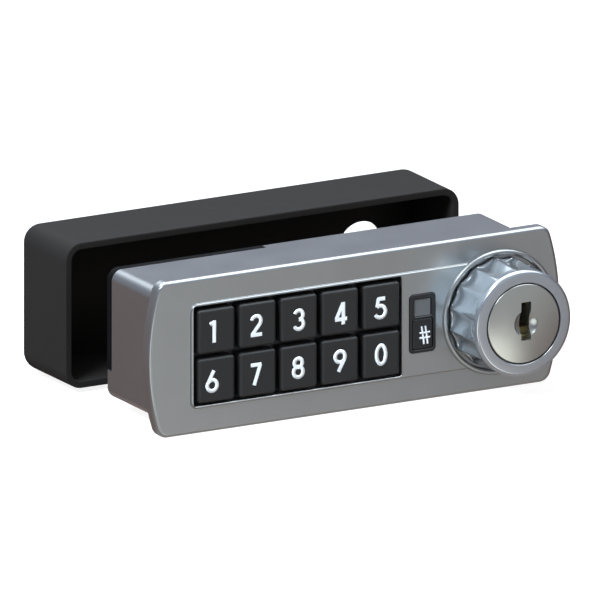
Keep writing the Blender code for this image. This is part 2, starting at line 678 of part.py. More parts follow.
# Front case: flange, body, plateau and knob ring in one casting
case = flat("front_case", [flange_outline()], FLANGE_Y, WALL_Y)
round_edges(case, FLANGE_Y, FLANGE_EDGE)
body = flat("case_body", [rounded(BODY_LENGTH, BODY_HEIGHT, BODY_CORNER)], WALL_Y - OVERRUN, LIP_Y)
plateau_left = KEYPAD_LEFT - PLATEAU_MARGIN_X
plateau_outline = rounded(KNOB_X - plateau_left, KEYPAD_HEIGHT + 2 * PLATEAU_MARGIN_Z, PLATEAU_CORNER,
                          ((KNOB_X + plateau_left) / 2, 0))
plateau = flat("case_plateau", [plateau_outline], PLATEAU_Y, FLANGE_Y + OVERRUN)
round_edges(plateau, PLATEAU_Y, PLATEAU_EDGE, 2)
ring_round = RING_WIDTH / 2
ring_top_y = FLANGE_Y - RING_HEIGHT
ring_profile = [(RING_INNER + ring_round - x, ring_top_y + ring_round - y)
                for x, y in arc((0, 0), ring_round, 0, 180, CORNER_STEPS)]
ring_profile += [(RING_OUTER, FLANGE_Y + OVERRUN), (RING_INNER, FLANGE_Y + OVERRUN)]
ring = turned("case_ring", ring_profile, (KNOB_X, 0))
join(case, body, plateau)
cut(case, rod("ring_recess", RING_INNER + ring_round, (KNOB_X, 0), PLATEAU_Y - OVERRUN,
              FLANGE_Y + RING_RECESS, FINE))
join(case, ring)
cavity = flat("case_cavity", [rounded(CAVITY_LENGTH, CAVITY_HEIGHT, CAVITY_CORNER)], WALL_Y, LIP_Y + OVERRUN)
cut(case, cavity)
keypad_opening = rounded(KEYPAD_LENGTH, KEYPAD_HEIGHT, KEYPAD_CORNER, (KEYPAD_X, 0))
panel_opening = rounded(PANEL_LENGTH + 2 * GAP, PANEL_HEIGHT + 2 * GAP, PANEL_CORNER + GAP,
                        (PANEL_X, PANEL_Z))
cut(case, flat("keypad_opening", [keypad_opening], PLATEAU_Y - OVERRUN, WALL_Y + OVERRUN),
    flat("panel_opening", [panel_opening], PLATEAU_Y - OVERRUN, WALL_Y + OVERRUN),
    rod("bush_hole", BUSH_OUTER + GAP, (KNOB_X, 0), FLANGE_Y - OVERRUN, WALL_Y + OVERRUN, FINE),
    rod("bush_seat", BUSH_FLANGE_RADIUS + GAP, (KNOB_X, 0), FLANGE_Y - OVERRUN, BUSH_Y + BUSH_FLANGE + GAP,
        FINE),
    block("battery_notch", (-BODY_LENGTH / 2 - OVERRUN, LIP_Y - NOTCH_DEPTH, NOTCH_BOTTOM),
          (NOTCH_RIGHT, LIP_Y + OVERRUN, BODY_HEIGHT / 2 + OVERRUN)))
for label, place in COVER_SCREW_PLACES.items():
    join(case, rod(label + "_column", COLUMN_RADIUS, place, WALL_Y - OVERRUN, COVER_Y - GAP))
for label, place in BOARD_SCREW_PLACES.items():
    join(case, rod(label + "_boss", BOARD_BOSS_RADIUS, place, WALL_Y - OVERRUN, BOARD_Y - GAP, SMALL))
for label, place in COVER_SCREW_PLACES.items():
    cut(case, rod(label + "_thread", COVER_SCREW_RADIUS + GAP, place,
                  LIP_Y - COVER_SCREW_HEAD - COVER_SCREW_LENGTH - GAP, LIP_Y, SMALL))
for label, place in BOARD_SCREW_PLACES.items():
    cut(case, rod(label + "_thread", BOARD_SCREW_RADIUS + GAP, place,
                  BOARD_BACK_Y + GAP - BOARD_SCREW_LENGTH - GAP, BOARD_Y, SMALL))
dress(case, SATIN_SILVER)

# Keys, their mat and the circuit board
KEY_NUMBERS = ((1, 2, 3, 4, 5), (6, 7, 8, 9, 0))
key_places = {}
for row in range(KEY_ROWS):
    for column in range(KEY_COLUMNS):
        key_x = KEYPAD_X + (column - (KEY_COLUMNS - 1) / 2) * KEY_PITCH_X
        key_z = ((KEY_ROWS - 1) / 2 - row) * KEY_PITCH_Z
        key_places["key_%d" % KEY_NUMBERS[row][column]] = (key_x, key_z)


def key(name, place, length, height, y_front, stem_radius, material):
    """A key cap with a softened front and a round stem behind it."""
    piece = block(name, (place[0] - length / 2, y_front, place[1] - height / 2),
                  (place[0] + length / 2, KEY_BACK_Y, place[1] + height / 2))
    round_edges(piece, y_front, KEY_BEVEL, 2)
    join(piece, rod(name + "_stem", stem_radius, place, KEY_BACK_Y - OVERRUN, STEM_END_Y, SMALL))
    return dress(piece, material)


for label, place in key_places.items():
    hang([key(label, place, KEY_LENGTH, KEY_HEIGHT, KEY_Y, KEY_STEM_RADIUS, KEY_RUBBER)],
         label + "_slide", (place[0], KEY_Y, place[1]))
hash_place = (PANEL_X, HASH_Z)
hang([key("key_hash", hash_place, HASH_LENGTH, HASH_HEIGHT, PANEL_Y, HASH_STEM_RADIUS, PANEL_PLASTIC)],
     "key_hash_slide", (hash_place[0], PANEL_Y, hash_place[1]))

mat_edge = rounded(KEYPAD_LENGTH + 2 * MAT_MARGIN, KEYPAD_HEIGHT + 2 * MAT_MARGIN, KEYPAD_CORNER,
                   (KEYPAD_X, 0))
mat_holes = [circle(place, KEY_STEM_RADIUS + GAP, SMALL) for place in key_places.values()]
dress(flat("keypad_mat", [mat_edge] + mat_holes, MAT_Y, MAT_BACK_Y), GREY_RUBBER)

board_left = CAVITY_LEFT + GAP
board_half = CAVITY_TOP - BOARD_SIDE_GAP
corner_x, corner_z = COVER_SCREW_PLACES["cover_screw_1"]
notch_x = corner_x + COLUMN_RADIUS + GAP
notch_z = corner_z + COLUMN_RADIUS + GAP
board_edge = [(BOARD_RIGHT, -board_half), (BOARD_RIGHT, board_half), (board_left + CAVITY_CORNER, board_half),
              (board_left, board_half - CAVITY_CORNER), (board_left, notch_z), (notch_x, notch_z),
              (notch_x, -board_half)]
board_holes = [circle(place, BOARD_SCREW_RADIUS + GAP, SMALL) for place in BOARD_SCREW_PLACES.values()]
dress(flat("keypad_board", [board_edge] + board_holes, BOARD_Y, BOARD_BACK_Y), BOARD_GREEN)
for label, place in BOARD_SCREW_PLACES.items():
    screw(label, place, BOARD_BACK_Y + GAP + BOARD_SCREW_HEAD, BOARD_SCREW_HEAD, BOARD_SCREW_HEAD_RADIUS,
          BOARD_SCREW_RADIUS, BOARD_SCREW_LENGTH, BRIGHT_STEEL)

chip_half = CHIP_SIZE / 2
chip = block("controller_chip", (CHIP_X - chip_half, BOARD_BACK_Y + GAP, CHIP_Z - chip_half),
             (CHIP_X + chip_half, BOARD_BACK_Y + GAP + CHIP_THICKNESS, CHIP_Z + chip_half))
dress(chip, CHIP_BLACK)
buzzer_y = BOARD_BACK_Y + GAP
buzzer_back_y = buzzer_y + BUZZER_DEPTH
buzzer = rod("buzzer", BUZZER_RADIUS, (BUZZER_X, BUZZER_Z), buzzer_y, buzzer_back_y)
cut(buzzer, rod("buzzer_port", BUZZER_PORT_RADIUS, (BUZZER_X, BUZZER_Z), buzzer_back_y - OVERRUN,
                buzzer_back_y + OVERRUN, SMALL))
dress(buzzer, CHIP_BLACK)
led_half = LED_SIZE / 2
led = block("status_led", (PANEL_X - led_half, BOARD_Y - GAP - LED_DEPTH, WINDOW_Z - led_half),
            (PANEL_X + led_half, BOARD_Y - GAP, WINDOW_Z + led_half))
dress(led, LED_CLEAR)

# Hash panel: a bezel that frames the lamp's window and the hash key
bezel_edge = rounded(PANEL_LENGTH, PANEL_HEIGHT, PANEL_CORNER, (PANEL_X, PANEL_Z))
bezel_holes = [rounded(WINDOW_LENGTH + 2 * SLIDE_GAP, WINDOW_HEIGHT + 2 * SLIDE_GAP, SLIDE_GAP,
                       (PANEL_X, WINDOW_Z)),
               rounded(HASH_LENGTH + 2 * GAP, HASH_HEIGHT + 2 * GAP, GAP, hash_place)]
bezel = flat("indicator_bezel", [bezel_edge] + bezel_holes, PANEL_Y, PANEL_Y + PANEL_DEPTH)
dress(bezel, PANEL_PLASTIC)
window_y = PANEL_Y + WINDOW_SUNK
window = block("status_window",
               (PANEL_X - WINDOW_LENGTH / 2, window_y, WINDOW_Z - WINDOW_HEIGHT / 2),
               (PANEL_X + WINDOW_LENGTH / 2, window_y + WINDOW_THICKNESS, WINDOW_Z + WINDOW_HEIGHT / 2))
dress(window, SMOKED_PLASTIC)

# Battery: a cell in a trough, a contact at its left end and a spring at its right
def lying_rod(name, radius, x_left, x_right, steps=ROUND):
    """A cylinder along X on the cell's axis."""
    piece = rod(name, radius, (0, 0), x_left, x_right, steps)
    piece.data.transform(Matrix.Rotation(math.radians(-90), 4, "Z"))
    piece.data.transform(Matrix.Translation((0, CELL_Y, CELL_Z)))
    return piece


cradle_half = TROUGH_RADIUS + CRADLE_WALL
cradle = block("battery_cradle", (CRADLE_LEFT, CRADLE_Y, CELL_Z - cradle_half),
               (CRADLE_RIGHT, CELL_Y, CELL_Z + cradle_half))
join(cradle, rod("door_post", DOOR_POST_RADIUS, DOOR_SCREW_PLACE, CRADLE_Y, DOOR_Y - GAP, SMALL))
cavity_room = rounded(CAVITY_LENGTH - 2 * GAP, CAVITY_HEIGHT - 2 * GAP, CAVITY_CORNER - GAP)
tool(flat("cradle_room", [cavity_room], CRADLE_Y - OVERRUN, LIP_Y), cradle, "INTERSECT")
cut(cradle, lying_rod("trough", TROUGH_RADIUS, CRADLE_LEFT + CRADLE_WALL, CRADLE_RIGHT - CRADLE_WALL),
    rod("screw_head_room", BOARD_SCREW_HEAD_RADIUS + GAP, BOARD_SCREW_PLACES["board_screw_1"],
        CRADLE_Y - OVERRUN, BOARD_BACK_Y + GAP + BOARD_SCREW_HEAD + GAP, SMALL),
    rod("door_thread", DOOR_SCREW_RADIUS + SLIDE_GAP, DOOR_SCREW_PLACE,
        LIP_Y - DOOR_SCREW_HEAD - DOOR_SCREW_LENGTH - GAP, LIP_Y, SMALL))
dress(cradle, BLACK_PLASTIC)

cell = lying_rod("battery_cell", CELL_RADIUS, CELL_LEFT + CELL_NUB, CELL_RIGHT, ROUND)
join(cell, lying_rod("cell_nub", CELL_NUB_RADIUS, CELL_LEFT, CELL_LEFT + CELL_NUB + OVERRUN, SMALL))
dress(cell, CELL_WRAP)
contact_half = CONTACT_SIZE / 2
contact = block("battery_contact", (CONTACT_LEFT, CELL_Y - contact_half, CELL_Z - contact_half),
                (CONTACT_LEFT + CONTACT_THICKNESS, CELL_Y, CELL_Z + contact_half))
dress(contact, BRIGHT_STEEL)
spring_left = CELL_RIGHT + GAP + SPRING_WIRE_RADIUS
spring_right = CRADLE_RIGHT - CRADLE_WALL - GAP - SPRING_WIRE_RADIUS
spring_points = SPRING_TURNS * THREAD_STEPS
spring_route = []
for i in range(spring_points + 1):
    share = i / spring_points
    angle = 2 * math.pi * SPRING_TURNS * share
    radius = SPRING_SMALL_RADIUS + (SPRING_LARGE_RADIUS - SPRING_SMALL_RADIUS) * share
    spring_route.append((spring_left + (spring_right - spring_left) * share,
                         CELL_Y + radius * math.cos(angle), CELL_Z + radius * math.sin(angle)))
dress(coil("battery_spring", spring_route, SPRING_WIRE_RADIUS), BRIGHT_STEEL)

# Battery door: it fills the notch in the case's lip
door = flat("battery_door", [rounded(BODY_LENGTH, BODY_HEIGHT, BODY_CORNER)], DOOR_Y, LIP_Y)
door_area = block("door_area", (-BODY_LENGTH / 2 - OVERRUN, DOOR_Y - OVERRUN, NOTCH_BOTTOM + GAP),
                  (NOTCH_RIGHT - GAP, LIP_Y + OVERRUN, BODY_HEIGHT / 2 + OVERRUN))
tool(door_area, door, "INTERSECT")
cut(door, rod("door_screw_hole", DOOR_SCREW_RADIUS + SLIDE_GAP, DOOR_SCREW_PLACE, DOOR_Y - OVERRUN,
              LIP_Y + OVERRUN, SMALL),
    rod("door_screw_seat", DOOR_SCREW_HEAD_RADIUS + SLIDE_GAP, DOOR_SCREW_PLACE,
        LIP_Y - DOOR_SCREW_HEAD - SLIDE_GAP, LIP_Y + OVERRUN, SMALL))
dress(door, BLACK_PLASTIC)
screw("battery_door_screw", DOOR_SCREW_PLACE, LIP_Y, DOOR_SCREW_HEAD, DOOR_SCREW_HEAD_RADIUS,
      DOOR_SCREW_RADIUS, DOOR_SCREW_LENGTH, BRIGHT_STEEL)

# Rear cover: the rest of the back, with the spindle's bush and the yoke's guide post
cover = flat("rear_cover", [cavity_room], COVER_Y, LIP_Y)
join(cover, rod("guide_post", GUIDE_POST_RADIUS, (GUIDE_X, GUIDE_Z), COVER_Y - GUIDE_POST_REACH,
                COVER_Y + COVER_THICKNESS / 2, SMALL))
cut(cover, block("battery_bay", (-BODY_LENGTH / 2, COVER_Y - OVERRUN, NOTCH_BOTTOM - GAP),
                 (NOTCH_RIGHT + GAP, LIP_Y + OVERRUN, BODY_HEIGHT / 2)),
    rod("rear_bush_hole", REAR_BUSH_OUTER + GAP, (KNOB_X, 0), COVER_Y - OVERRUN, LIP_Y + OVERRUN))
for label, place in COVER_SCREW_PLACES.items():
    cut(cover, rod(label + "_hole", COVER_SCREW_RADIUS + GAP, place, COVER_Y - OVERRUN, LIP_Y + OVERRUN,
                   SMALL),
        rod(label + "_seat", COVER_SCREW_HEAD_RADIUS + GAP, place, LIP_Y - COVER_SCREW_HEAD - GAP,
            LIP_Y + OVERRUN, SMALL))
dress(cover, BLACK_PLASTIC)
for label, place in COVER_SCREW_PLACES.items():
    screw(label, place, LIP_Y, COVER_SCREW_HEAD, COVER_SCREW_HEAD_RADIUS, COVER_SCREW_RADIUS,
          COVER_SCREW_LENGTH, BRIGHT_STEEL)

# Knob: a fluted cap with a hub that runs in a bush through the case
knob_place = (KNOB_X, 0)
hub_groove = HUB_RADIUS - HUB_GROOVE_DEPTH
knob_profile = [(PLUG_BORE_RADIUS, KNOB_FACE_Y)]
knob_profile += [(KNOB_FACE_RADIUS + x, KNOB_FACE_Y + KNOB_FACE_ROUND - y)
                 for x, y in arc((0, 0), KNOB_FACE_ROUND, 90, 0, CORNER_STEPS)]
knob_profile += [
    (KNOB_RING_RADIUS, KNOB_FACE_Y + KNOB_RING_DEPTH),
    (KNOB_BASE_RADIUS, KNOB_BASE_Y - KNOB_BASE_EDGE),
    (KNOB_BASE_RADIUS - KNOB_BASE_EDGE, KNOB_BASE_Y),
    (HUB_RADIUS, KNOB_BASE_Y),
    (HUB_RADIUS, KNOB_CLIP_Y - GAP),
    (hub_groove, KNOB_CLIP_Y - GAP),
    (hub_groove, KNOB_CLIP_Y + CLIP_THICKNESS + GAP),
    (HUB_RADIUS, KNOB_CLIP_Y + CLIP_THICKNESS + GAP),
    (HUB_RADIUS, HUB_END_Y),
    (HUB_BORE_RADIUS, HUB_END_Y),
    (HUB_BORE_RADIUS, KNOB_FACE_Y + PLUG_HEAD + GAP),
    (PLUG_BORE_RADIUS, KNOB_FACE_Y + PLUG_HEAD + GAP),
]
knob = turned("knob", knob_profile, knob_place)
flute_radius = (FLUTE_HALF_WIDTH ** 2 + FLUTE_DEPTH ** 2) / (2 * FLUTE_DEPTH)
flute_front_orbit = KNOB_RING_RADIUS - FLUTE_DEPTH + flute_radius
flute_back_orbit = KNOB_BASE_RADIUS - FLUTE_DEPTH + flute_radius
for i in range(FLUTES):
    flute = rod("flute_%d" % i, flute_radius, (0, 0), 0, KNOB_LENGTH - KNOB_RING_DEPTH + OVERRUN, ROUND)
    lean = (flute_back_orbit - flute_front_orbit) / (KNOB_LENGTH - KNOB_RING_DEPTH)
    for vert in flute.data.vertices:
        vert.co.x += flute_front_orbit + lean * vert.co.y
        vert.co.y += KNOB_FACE_Y + KNOB_RING_DEPTH
    flute.data.transform(Matrix.Rotation(2 * math.pi * (i + 0.5) / FLUTES, 4, "Y"))
    flute.data.transform(Matrix.Translation((KNOB_X, 0, 0)))
    cut(knob, flute)
for label, side in (("lug_top", 1), ("lug_bottom", -1)):
    edges = sorted((side * LUG_INNER, side * LUG_OUTER))
    join(knob, block(label, (KNOB_X - LUG_WIDTH / 2, HUB_END_Y - OVERRUN, edges[0]),
                     (KNOB_X + LUG_WIDTH / 2, HUB_END_Y + LUG_LENGTH, edges[1])))
dress(knob, PLATED_SILVER)

bush_profile = [
    (BUSH_INNER, BUSH_Y),
    (BUSH_FLANGE_RADIUS, BUSH_Y),
    (BUSH_FLANGE_RADIUS, BUSH_Y + BUSH_FLANGE),
    (BUSH_OUTER, BUSH_Y + BUSH_FLANGE),
    (BUSH_OUTER, WALL_Y),
    (BUSH_INNER, WALL_Y),
]
dress(turned("knob_bush", bush_profile, knob_place, ROUND), WHITE_NYLON)
knob_clip = circlip("knob_circlip", hub_groove + GAP, KNOB_CLIP_RADIUS, knob_place, KNOB_CLIP_Y, BRIGHT_STEEL)


def lobed(name, radius, y_front, y_back, bores):
    """A disc with a lobe to the left that holds the clutch pin's hole, and any bores on its own axis."""
    lean = math.degrees(math.asin(LOBE_RADIUS / radius))
    lobe_place = (KNOB_X - PIN_ORBIT, 0)
    outline = arc(knob_place, radius, lean - 180, 180 - lean, ROUND)
    outline += arc(lobe_place, LOBE_RADIUS, 90, 270, SMALL)
    holes = [circle(lobe_place, PIN_RADIUS + GAP, SMALL)]
    holes += [circle(knob_place, bore) for bore in bores]
    return flat(name, [outline] + holes, y_front, y_back)


drive_plate = lobed("drive_plate", DRIVE_PLATE_RADIUS, DRIVE_PLATE_Y, DRIVE_PLATE_BACK_Y, [HUB_BORE_RADIUS])
cut(drive_plate, block("lug_slot", (KNOB_X - LUG_WIDTH / 2 - GAP, DRIVE_PLATE_Y - OVERRUN, -LUG_OUTER - GAP),
                       (KNOB_X + LUG_WIDTH / 2 + GAP, DRIVE_PLATE_BACK_Y + OVERRUN, LUG_OUTER + GAP)))
dress(drive_plate, BRIGHT_STEEL)

# Key plug: a round head and a slotted core that holds the wafers
core_groove = CORE_RADIUS - PLUG_GROOVE_DEPTH
plug_profile = [
    (0, KNOB_FACE_Y),
    (PLUG_RADIUS - PLUG_EDGE, KNOB_FACE_Y),
    (PLUG_RADIUS, KNOB_FACE_Y + PLUG_EDGE),
    (PLUG_RADIUS, KNOB_FACE_Y + PLUG_HEAD),
    (CORE_RADIUS, KNOB_FACE_Y + PLUG_HEAD),
    (CORE_RADIUS, PLUG_CLIP_Y - GAP),
    (core_groove, PLUG_CLIP_Y - GAP),
    (core_groove, PLUG_CLIP_Y + CLIP_THICKNESS + GAP),
    (CORE_RADIUS, PLUG_CLIP_Y + CLIP_THICKNESS + GAP),
    (CORE_RADIUS, PLUG_END_Y),
    (0, PLUG_END_Y),
]
plug = turned("key_plug", plug_profile, knob_place)
dish_ball = (DISH_RADIUS ** 2 + DISH_DEPTH ** 2) / (2 * DISH_DEPTH)
dish_mesh = bpy.data.meshes.new("dish")
dish_shape = bmesh.new()
bmesh.ops.create_uvsphere(dish_shape, u_segments=ROUND, v_segments=ROUND, radius=dish_ball)
bmesh.ops.rotate(dish_shape, matrix=Matrix.Rotation(math.radians(90), 3, "X"), verts=dish_shape.verts)
dish_shape.to_mesh(dish_mesh)
dish_shape.free()
dish = add_object("dish", dish_mesh)
keyway_x = KNOB_X + KEYWAY_X
dish.location = (keyway_x, KNOB_FACE_Y + DISH_DEPTH - dish_ball, 0)
keyway = block("keyway", (keyway_x - KEYWAY_WIDTH / 2, KNOB_FACE_Y - OVERRUN, KEYWAY_Z - KEYWAY_HEIGHT / 2),
               (keyway_x + KEYWAY_WIDTH / 2, KNOB_FACE_Y + KEYWAY_DEPTH, KEYWAY_Z + KEYWAY_HEIGHT / 2))
cut(plug, dish, keyway)
wafers = []
for i in range(WAFERS):
    wafer_y = KNOB_FACE_Y + WAFER_FIRST + i * WAFER_PITCH
    slot_half = WAFER_SLOT_WIDTH / 2
    cut(plug, block("wafer_slot_%d" % (i + 1), (KNOB_X - slot_half, wafer_y - GAP, -CORE_RADIUS - OVERRUN),
                    (KNOB_X + slot_half, wafer_y + WAFER_THICKNESS + GAP, CORE_RADIUS + OVERRUN)))
    hole_half = WAFER_HOLE_WIDTH / 2
    hole_rise = WAFER_HOLE_HEIGHT / 2
    wafer = block("wafer_%d" % (i + 1), (KNOB_X - WAFER_WIDTH / 2, wafer_y, -WAFER_HEIGHT / 2),
                  (KNOB_X + WAFER_WIDTH / 2, wafer_y + WAFER_THICKNESS, WAFER_HEIGHT / 2))
    cut(wafer, block("wafer_hole_%d" % (i + 1),
                     (keyway_x - hole_half, wafer_y - OVERRUN, KEYWAY_Z - hole_rise),
                     (keyway_x + hole_half, wafer_y + WAFER_THICKNESS + OVERRUN, KEYWAY_Z + hole_rise)))
    wafers.append(dress(wafer, BRASS))
dress(plug, PLUG_METAL)
plug_clip = circlip("plug_clip", core_groove + GAP, PLUG_CLIP_RADIUS, knob_place, PLUG_CLIP_Y, BRIGHT_STEEL)
hang([knob, knob_clip, drive_plate], "knob_axis", (KNOB_X, KNOB_FACE_Y, 0))
hang([plug, plug_clip] + wafers, "plug_axis", (KNOB_X, KNOB_FACE_Y, 0))

# Spindle: it carries the clutch pin in its lobe and ends in a square for a cam
spindle = lobed("spindle", SPINDLE_FLANGE_RADIUS, SPINDLE_Y, SPINDLE_FLANGE_BACK_Y, [])
square_y = SPINDLE_END_Y - SPINDLE_SQUARE_LENGTH
half_square = SPINDLE_SQUARE / 2
spindle_groove = SPINDLE_RADIUS - SPINDLE_GROOVE_DEPTH
groove_end = SPINDLE_CLIP_Y + CLIP_THICKNESS + GAP
shaft_profile = [
    (0, SPINDLE_FLANGE_BACK_Y - OVERRUN),
    (SPINDLE_RADIUS, SPINDLE_FLANGE_BACK_Y - OVERRUN),
    (SPINDLE_RADIUS, SPINDLE_CLIP_Y - GAP),
    (spindle_groove, SPINDLE_CLIP_Y - GAP),
    (spindle_groove, groove_end),
    (SPINDLE_RADIUS, groove_end),
    (SPINDLE_RADIUS, square_y),
    (0, square_y),
]
join(spindle, turned("spindle_shaft", shaft_profile, knob_place, ROUND),
     block("spindle_square", (KNOB_X - half_square, square_y - OVERRUN, -half_square),
           (KNOB_X + half_square, SPINDLE_END_Y, half_square)))
cut(spindle, rod("spindle_thread", SPINDLE_THREAD_RADIUS, knob_place, SPINDLE_END_Y - SPINDLE_THREAD_DEPTH,
                 SPINDLE_END_Y + OVERRUN, SMALL))
dress(spindle, BRIGHT_STEEL)
spindle_clip = circlip("spindle_circlip", spindle_groove + GAP, SPINDLE_CLIP_RADIUS, knob_place,
                       SPINDLE_CLIP_Y, BRIGHT_STEEL)
rear_bush_profile = [
    (REAR_BUSH_INNER, COVER_Y - GAP - REAR_BUSH_FLANGE),
    (REAR_BUSH_FLANGE_RADIUS, COVER_Y - GAP - REAR_BUSH_FLANGE),
    (REAR_BUSH_FLANGE_RADIUS, COVER_Y - GAP),
    (REAR_BUSH_OUTER, COVER_Y - GAP),
    (REAR_BUSH_OUTER, LIP_Y),
    (REAR_BUSH_INNER, LIP_Y),
]
dress(turned("rear_bush", rear_bush_profile, knob_place, ROUND), WHITE_NYLON)

# Clutch: a pin that slides in the spindle's lobe, its spring, and the yoke that pushes it
pin_place = (KNOB_X - PIN_ORBIT, 0)
pin = rod("clutch_pin", PIN_RADIUS, pin_place, PIN_NOSE_Y, PIN_END_Y, SMALL)
join(pin, rod("pin_head", PIN_HEAD_RADIUS, pin_place, PIN_HEAD_Y, PIN_END_Y, SMALL))
dress(pin, BRIGHT_STEEL)
pin_spring_start = CLUTCH_SPRING_Y + SPRING_WIRE_RADIUS
pin_spring_length = CLUTCH_SPRING_LENGTH - 2 * SPRING_WIRE_RADIUS
pin_spring_points = CLUTCH_SPRING_TURNS * THREAD_STEPS
pin_spring_route = []
for i in range(pin_spring_points + 1):
    angle = 2 * math.pi * i / THREAD_STEPS
    pin_spring_route.append((pin_place[0] + CLUTCH_SPRING_RADIUS * math.cos(angle),
                             pin_spring_start + pin_spring_length * i / pin_spring_points,
                             pin_place[1] + CLUTCH_SPRING_RADIUS * math.sin(angle)))
pin_spring = dress(coil("clutch_spring", pin_spring_route, SPRING_WIRE_RADIUS), BRIGHT_STEEL)
hang([spindle, spindle_clip, pin, pin_spring], "spindle_axis", (KNOB_X, SPINDLE_Y, 0))

motor_place = (MOTOR_X, MOTOR_Z)
guide_place = (GUIDE_X, GUIDE_Z)
yoke_outline = arc(knob_place, YOKE_OUTER, YOKE_START_DEGREES, YOKE_END_DEGREES, ROUND)
yoke_outline += arc(knob_place, YOKE_INNER, YOKE_END_DEGREES, YOKE_START_DEGREES, ROUND)
yoke = flat("clutch_yoke", [yoke_outline], YOKE_Y, YOKE_BACK_Y)
arm_right = KNOB_X - YOKE_INNER
join(yoke, rod("yoke_ear", GUIDE_EAR_RADIUS, guide_place, YOKE_Y, YOKE_BACK_Y),
     rod("yoke_nut", NUT_RADIUS, motor_place, YOKE_Y, YOKE_Y + NUT_THICKNESS),
     block("yoke_arm", (MOTOR_X - NUT_RADIUS / 2, YOKE_Y, MOTOR_Z),
           (arm_right - NUT_RADIUS / 2, YOKE_BACK_Y, 0)))
cut(yoke, rod("guide_hole", GUIDE_POST_RADIUS + GAP, guide_place, YOKE_Y - OVERRUN, YOKE_BACK_Y + OVERRUN,
              SMALL),
    rod("nut_hole", SCREW_RADIUS + GAP, motor_place, YOKE_Y - OVERRUN, YOKE_Y + NUT_THICKNESS + OVERRUN,
        SMALL))
dress(yoke, WHITE_NYLON)

# Clutch motor: its can in a bracket on the case's front wall, and the screw on its shaft
motor = rod("clutch_motor", MOTOR_RADIUS, motor_place, MOTOR_Y, MOTOR_BACK_Y)
join(motor, rod("motor_shaft", MOTOR_SHAFT_RADIUS, motor_place, MOTOR_BACK_Y - OVERRUN,
                MOTOR_BACK_Y + MOTOR_SHAFT_LENGTH, SMALL))
dress(motor, BRIGHT_STEEL)
bracket_y = WALL_Y + GAP
bracket = block("motor_bracket", (MOTOR_X - BRACKET_HALF, bracket_y, MOTOR_Z - BRACKET_HALF),
                (MOTOR_X + BRACKET_HALF, bracket_y + BRACKET_DEPTH, MOTOR_Z + BRACKET_HALF))
cut(bracket, rod("bracket_bore", BRACKET_BORE, motor_place, bracket_y - OVERRUN,
                 bracket_y + BRACKET_DEPTH + OVERRUN))
dress(bracket, BLACK_PLASTIC)
screw_y = MOTOR_BACK_Y + GAP
thread_turns = round(SCREW_LENGTH / SCREW_PITCH)
thread_profile = [(0, screw_y)]
for i in range(thread_turns):
    ridge_y = screw_y + i * SCREW_LENGTH / thread_turns
    thread_profile.append((SCREW_RADIUS - SCREW_THREAD_DEPTH, ridge_y))
    thread_profile.append((SCREW_RADIUS, ridge_y + SCREW_LENGTH / thread_turns / 2))
thread_profile += [(SCREW_RADIUS - SCREW_THREAD_DEPTH, screw_y + SCREW_LENGTH), (0, screw_y + SCREW_LENGTH)]
motor_screw = turned("motor_screw", thread_profile, motor_place, THREAD_STEPS)
cut(motor_screw, rod("screw_socket", MOTOR_SHAFT_RADIUS + GAP, motor_place, screw_y - OVERRUN,
                     screw_y + SCREW_SOCKET_DEPTH, SMALL))
dress(motor_screw, BRASS)
hang([motor_screw], "screw_axis", (MOTOR_X, screw_y, MOTOR_Z))
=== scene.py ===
# %% [markdown]
# # An electronic cabinet lock, drawn apart
# The object is a keypad lock for a cabinet or locker door. A silver case carries ten keys, a small panel
# with a # key and a fluted knob with a key plug. Behind it stands the black tray that the case slides into.
# Every piece exists already as a plain solid. This script loads those solids as a fixed frame, makes finer
# shapes for the pieces that show, and gives every piece its finish.

# %% Load the solids
import json
import math

import bmesh
import bpy
from mathutils import Matrix, Vector


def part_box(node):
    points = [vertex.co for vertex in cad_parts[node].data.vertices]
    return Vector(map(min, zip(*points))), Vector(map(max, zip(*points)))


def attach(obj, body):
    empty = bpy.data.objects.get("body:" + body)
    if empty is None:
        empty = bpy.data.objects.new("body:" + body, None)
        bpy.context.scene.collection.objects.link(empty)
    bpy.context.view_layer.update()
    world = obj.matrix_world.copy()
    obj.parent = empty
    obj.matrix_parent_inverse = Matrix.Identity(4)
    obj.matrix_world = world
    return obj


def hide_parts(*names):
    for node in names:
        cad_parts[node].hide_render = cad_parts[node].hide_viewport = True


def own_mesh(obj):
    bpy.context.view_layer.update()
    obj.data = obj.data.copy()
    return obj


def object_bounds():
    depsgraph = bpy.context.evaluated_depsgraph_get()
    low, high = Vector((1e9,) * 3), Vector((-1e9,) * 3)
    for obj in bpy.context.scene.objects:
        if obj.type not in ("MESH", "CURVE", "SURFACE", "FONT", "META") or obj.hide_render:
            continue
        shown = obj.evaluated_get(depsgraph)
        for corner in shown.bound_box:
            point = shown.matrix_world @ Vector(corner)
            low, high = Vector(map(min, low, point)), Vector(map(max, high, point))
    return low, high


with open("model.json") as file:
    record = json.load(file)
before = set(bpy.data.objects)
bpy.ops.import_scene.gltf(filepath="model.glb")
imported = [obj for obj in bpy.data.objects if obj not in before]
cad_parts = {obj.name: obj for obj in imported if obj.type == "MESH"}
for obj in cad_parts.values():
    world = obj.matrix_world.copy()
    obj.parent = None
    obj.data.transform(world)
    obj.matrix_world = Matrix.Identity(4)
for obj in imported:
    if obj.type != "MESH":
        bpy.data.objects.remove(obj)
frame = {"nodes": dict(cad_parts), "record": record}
solid_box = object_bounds()

# %% [markdown]
# ## The camera
# The photograph is a parallel projection, as a catalogue picture drawn by a program often is: the two long
# edges of the case never draw nearer to each other. An orthographic camera gives exactly that. Its turn and
# its rise follow from the widths of the knob's ellipses, and its scale from the height of the flange.


# %% A helper for objects
def add_piece(name, data):
    """Put a mesh, a lamp or other data in the scene as a named object."""
    piece = bpy.data.objects.new(name, data)
    bpy.context.scene.collection.objects.link(piece)
    return piece


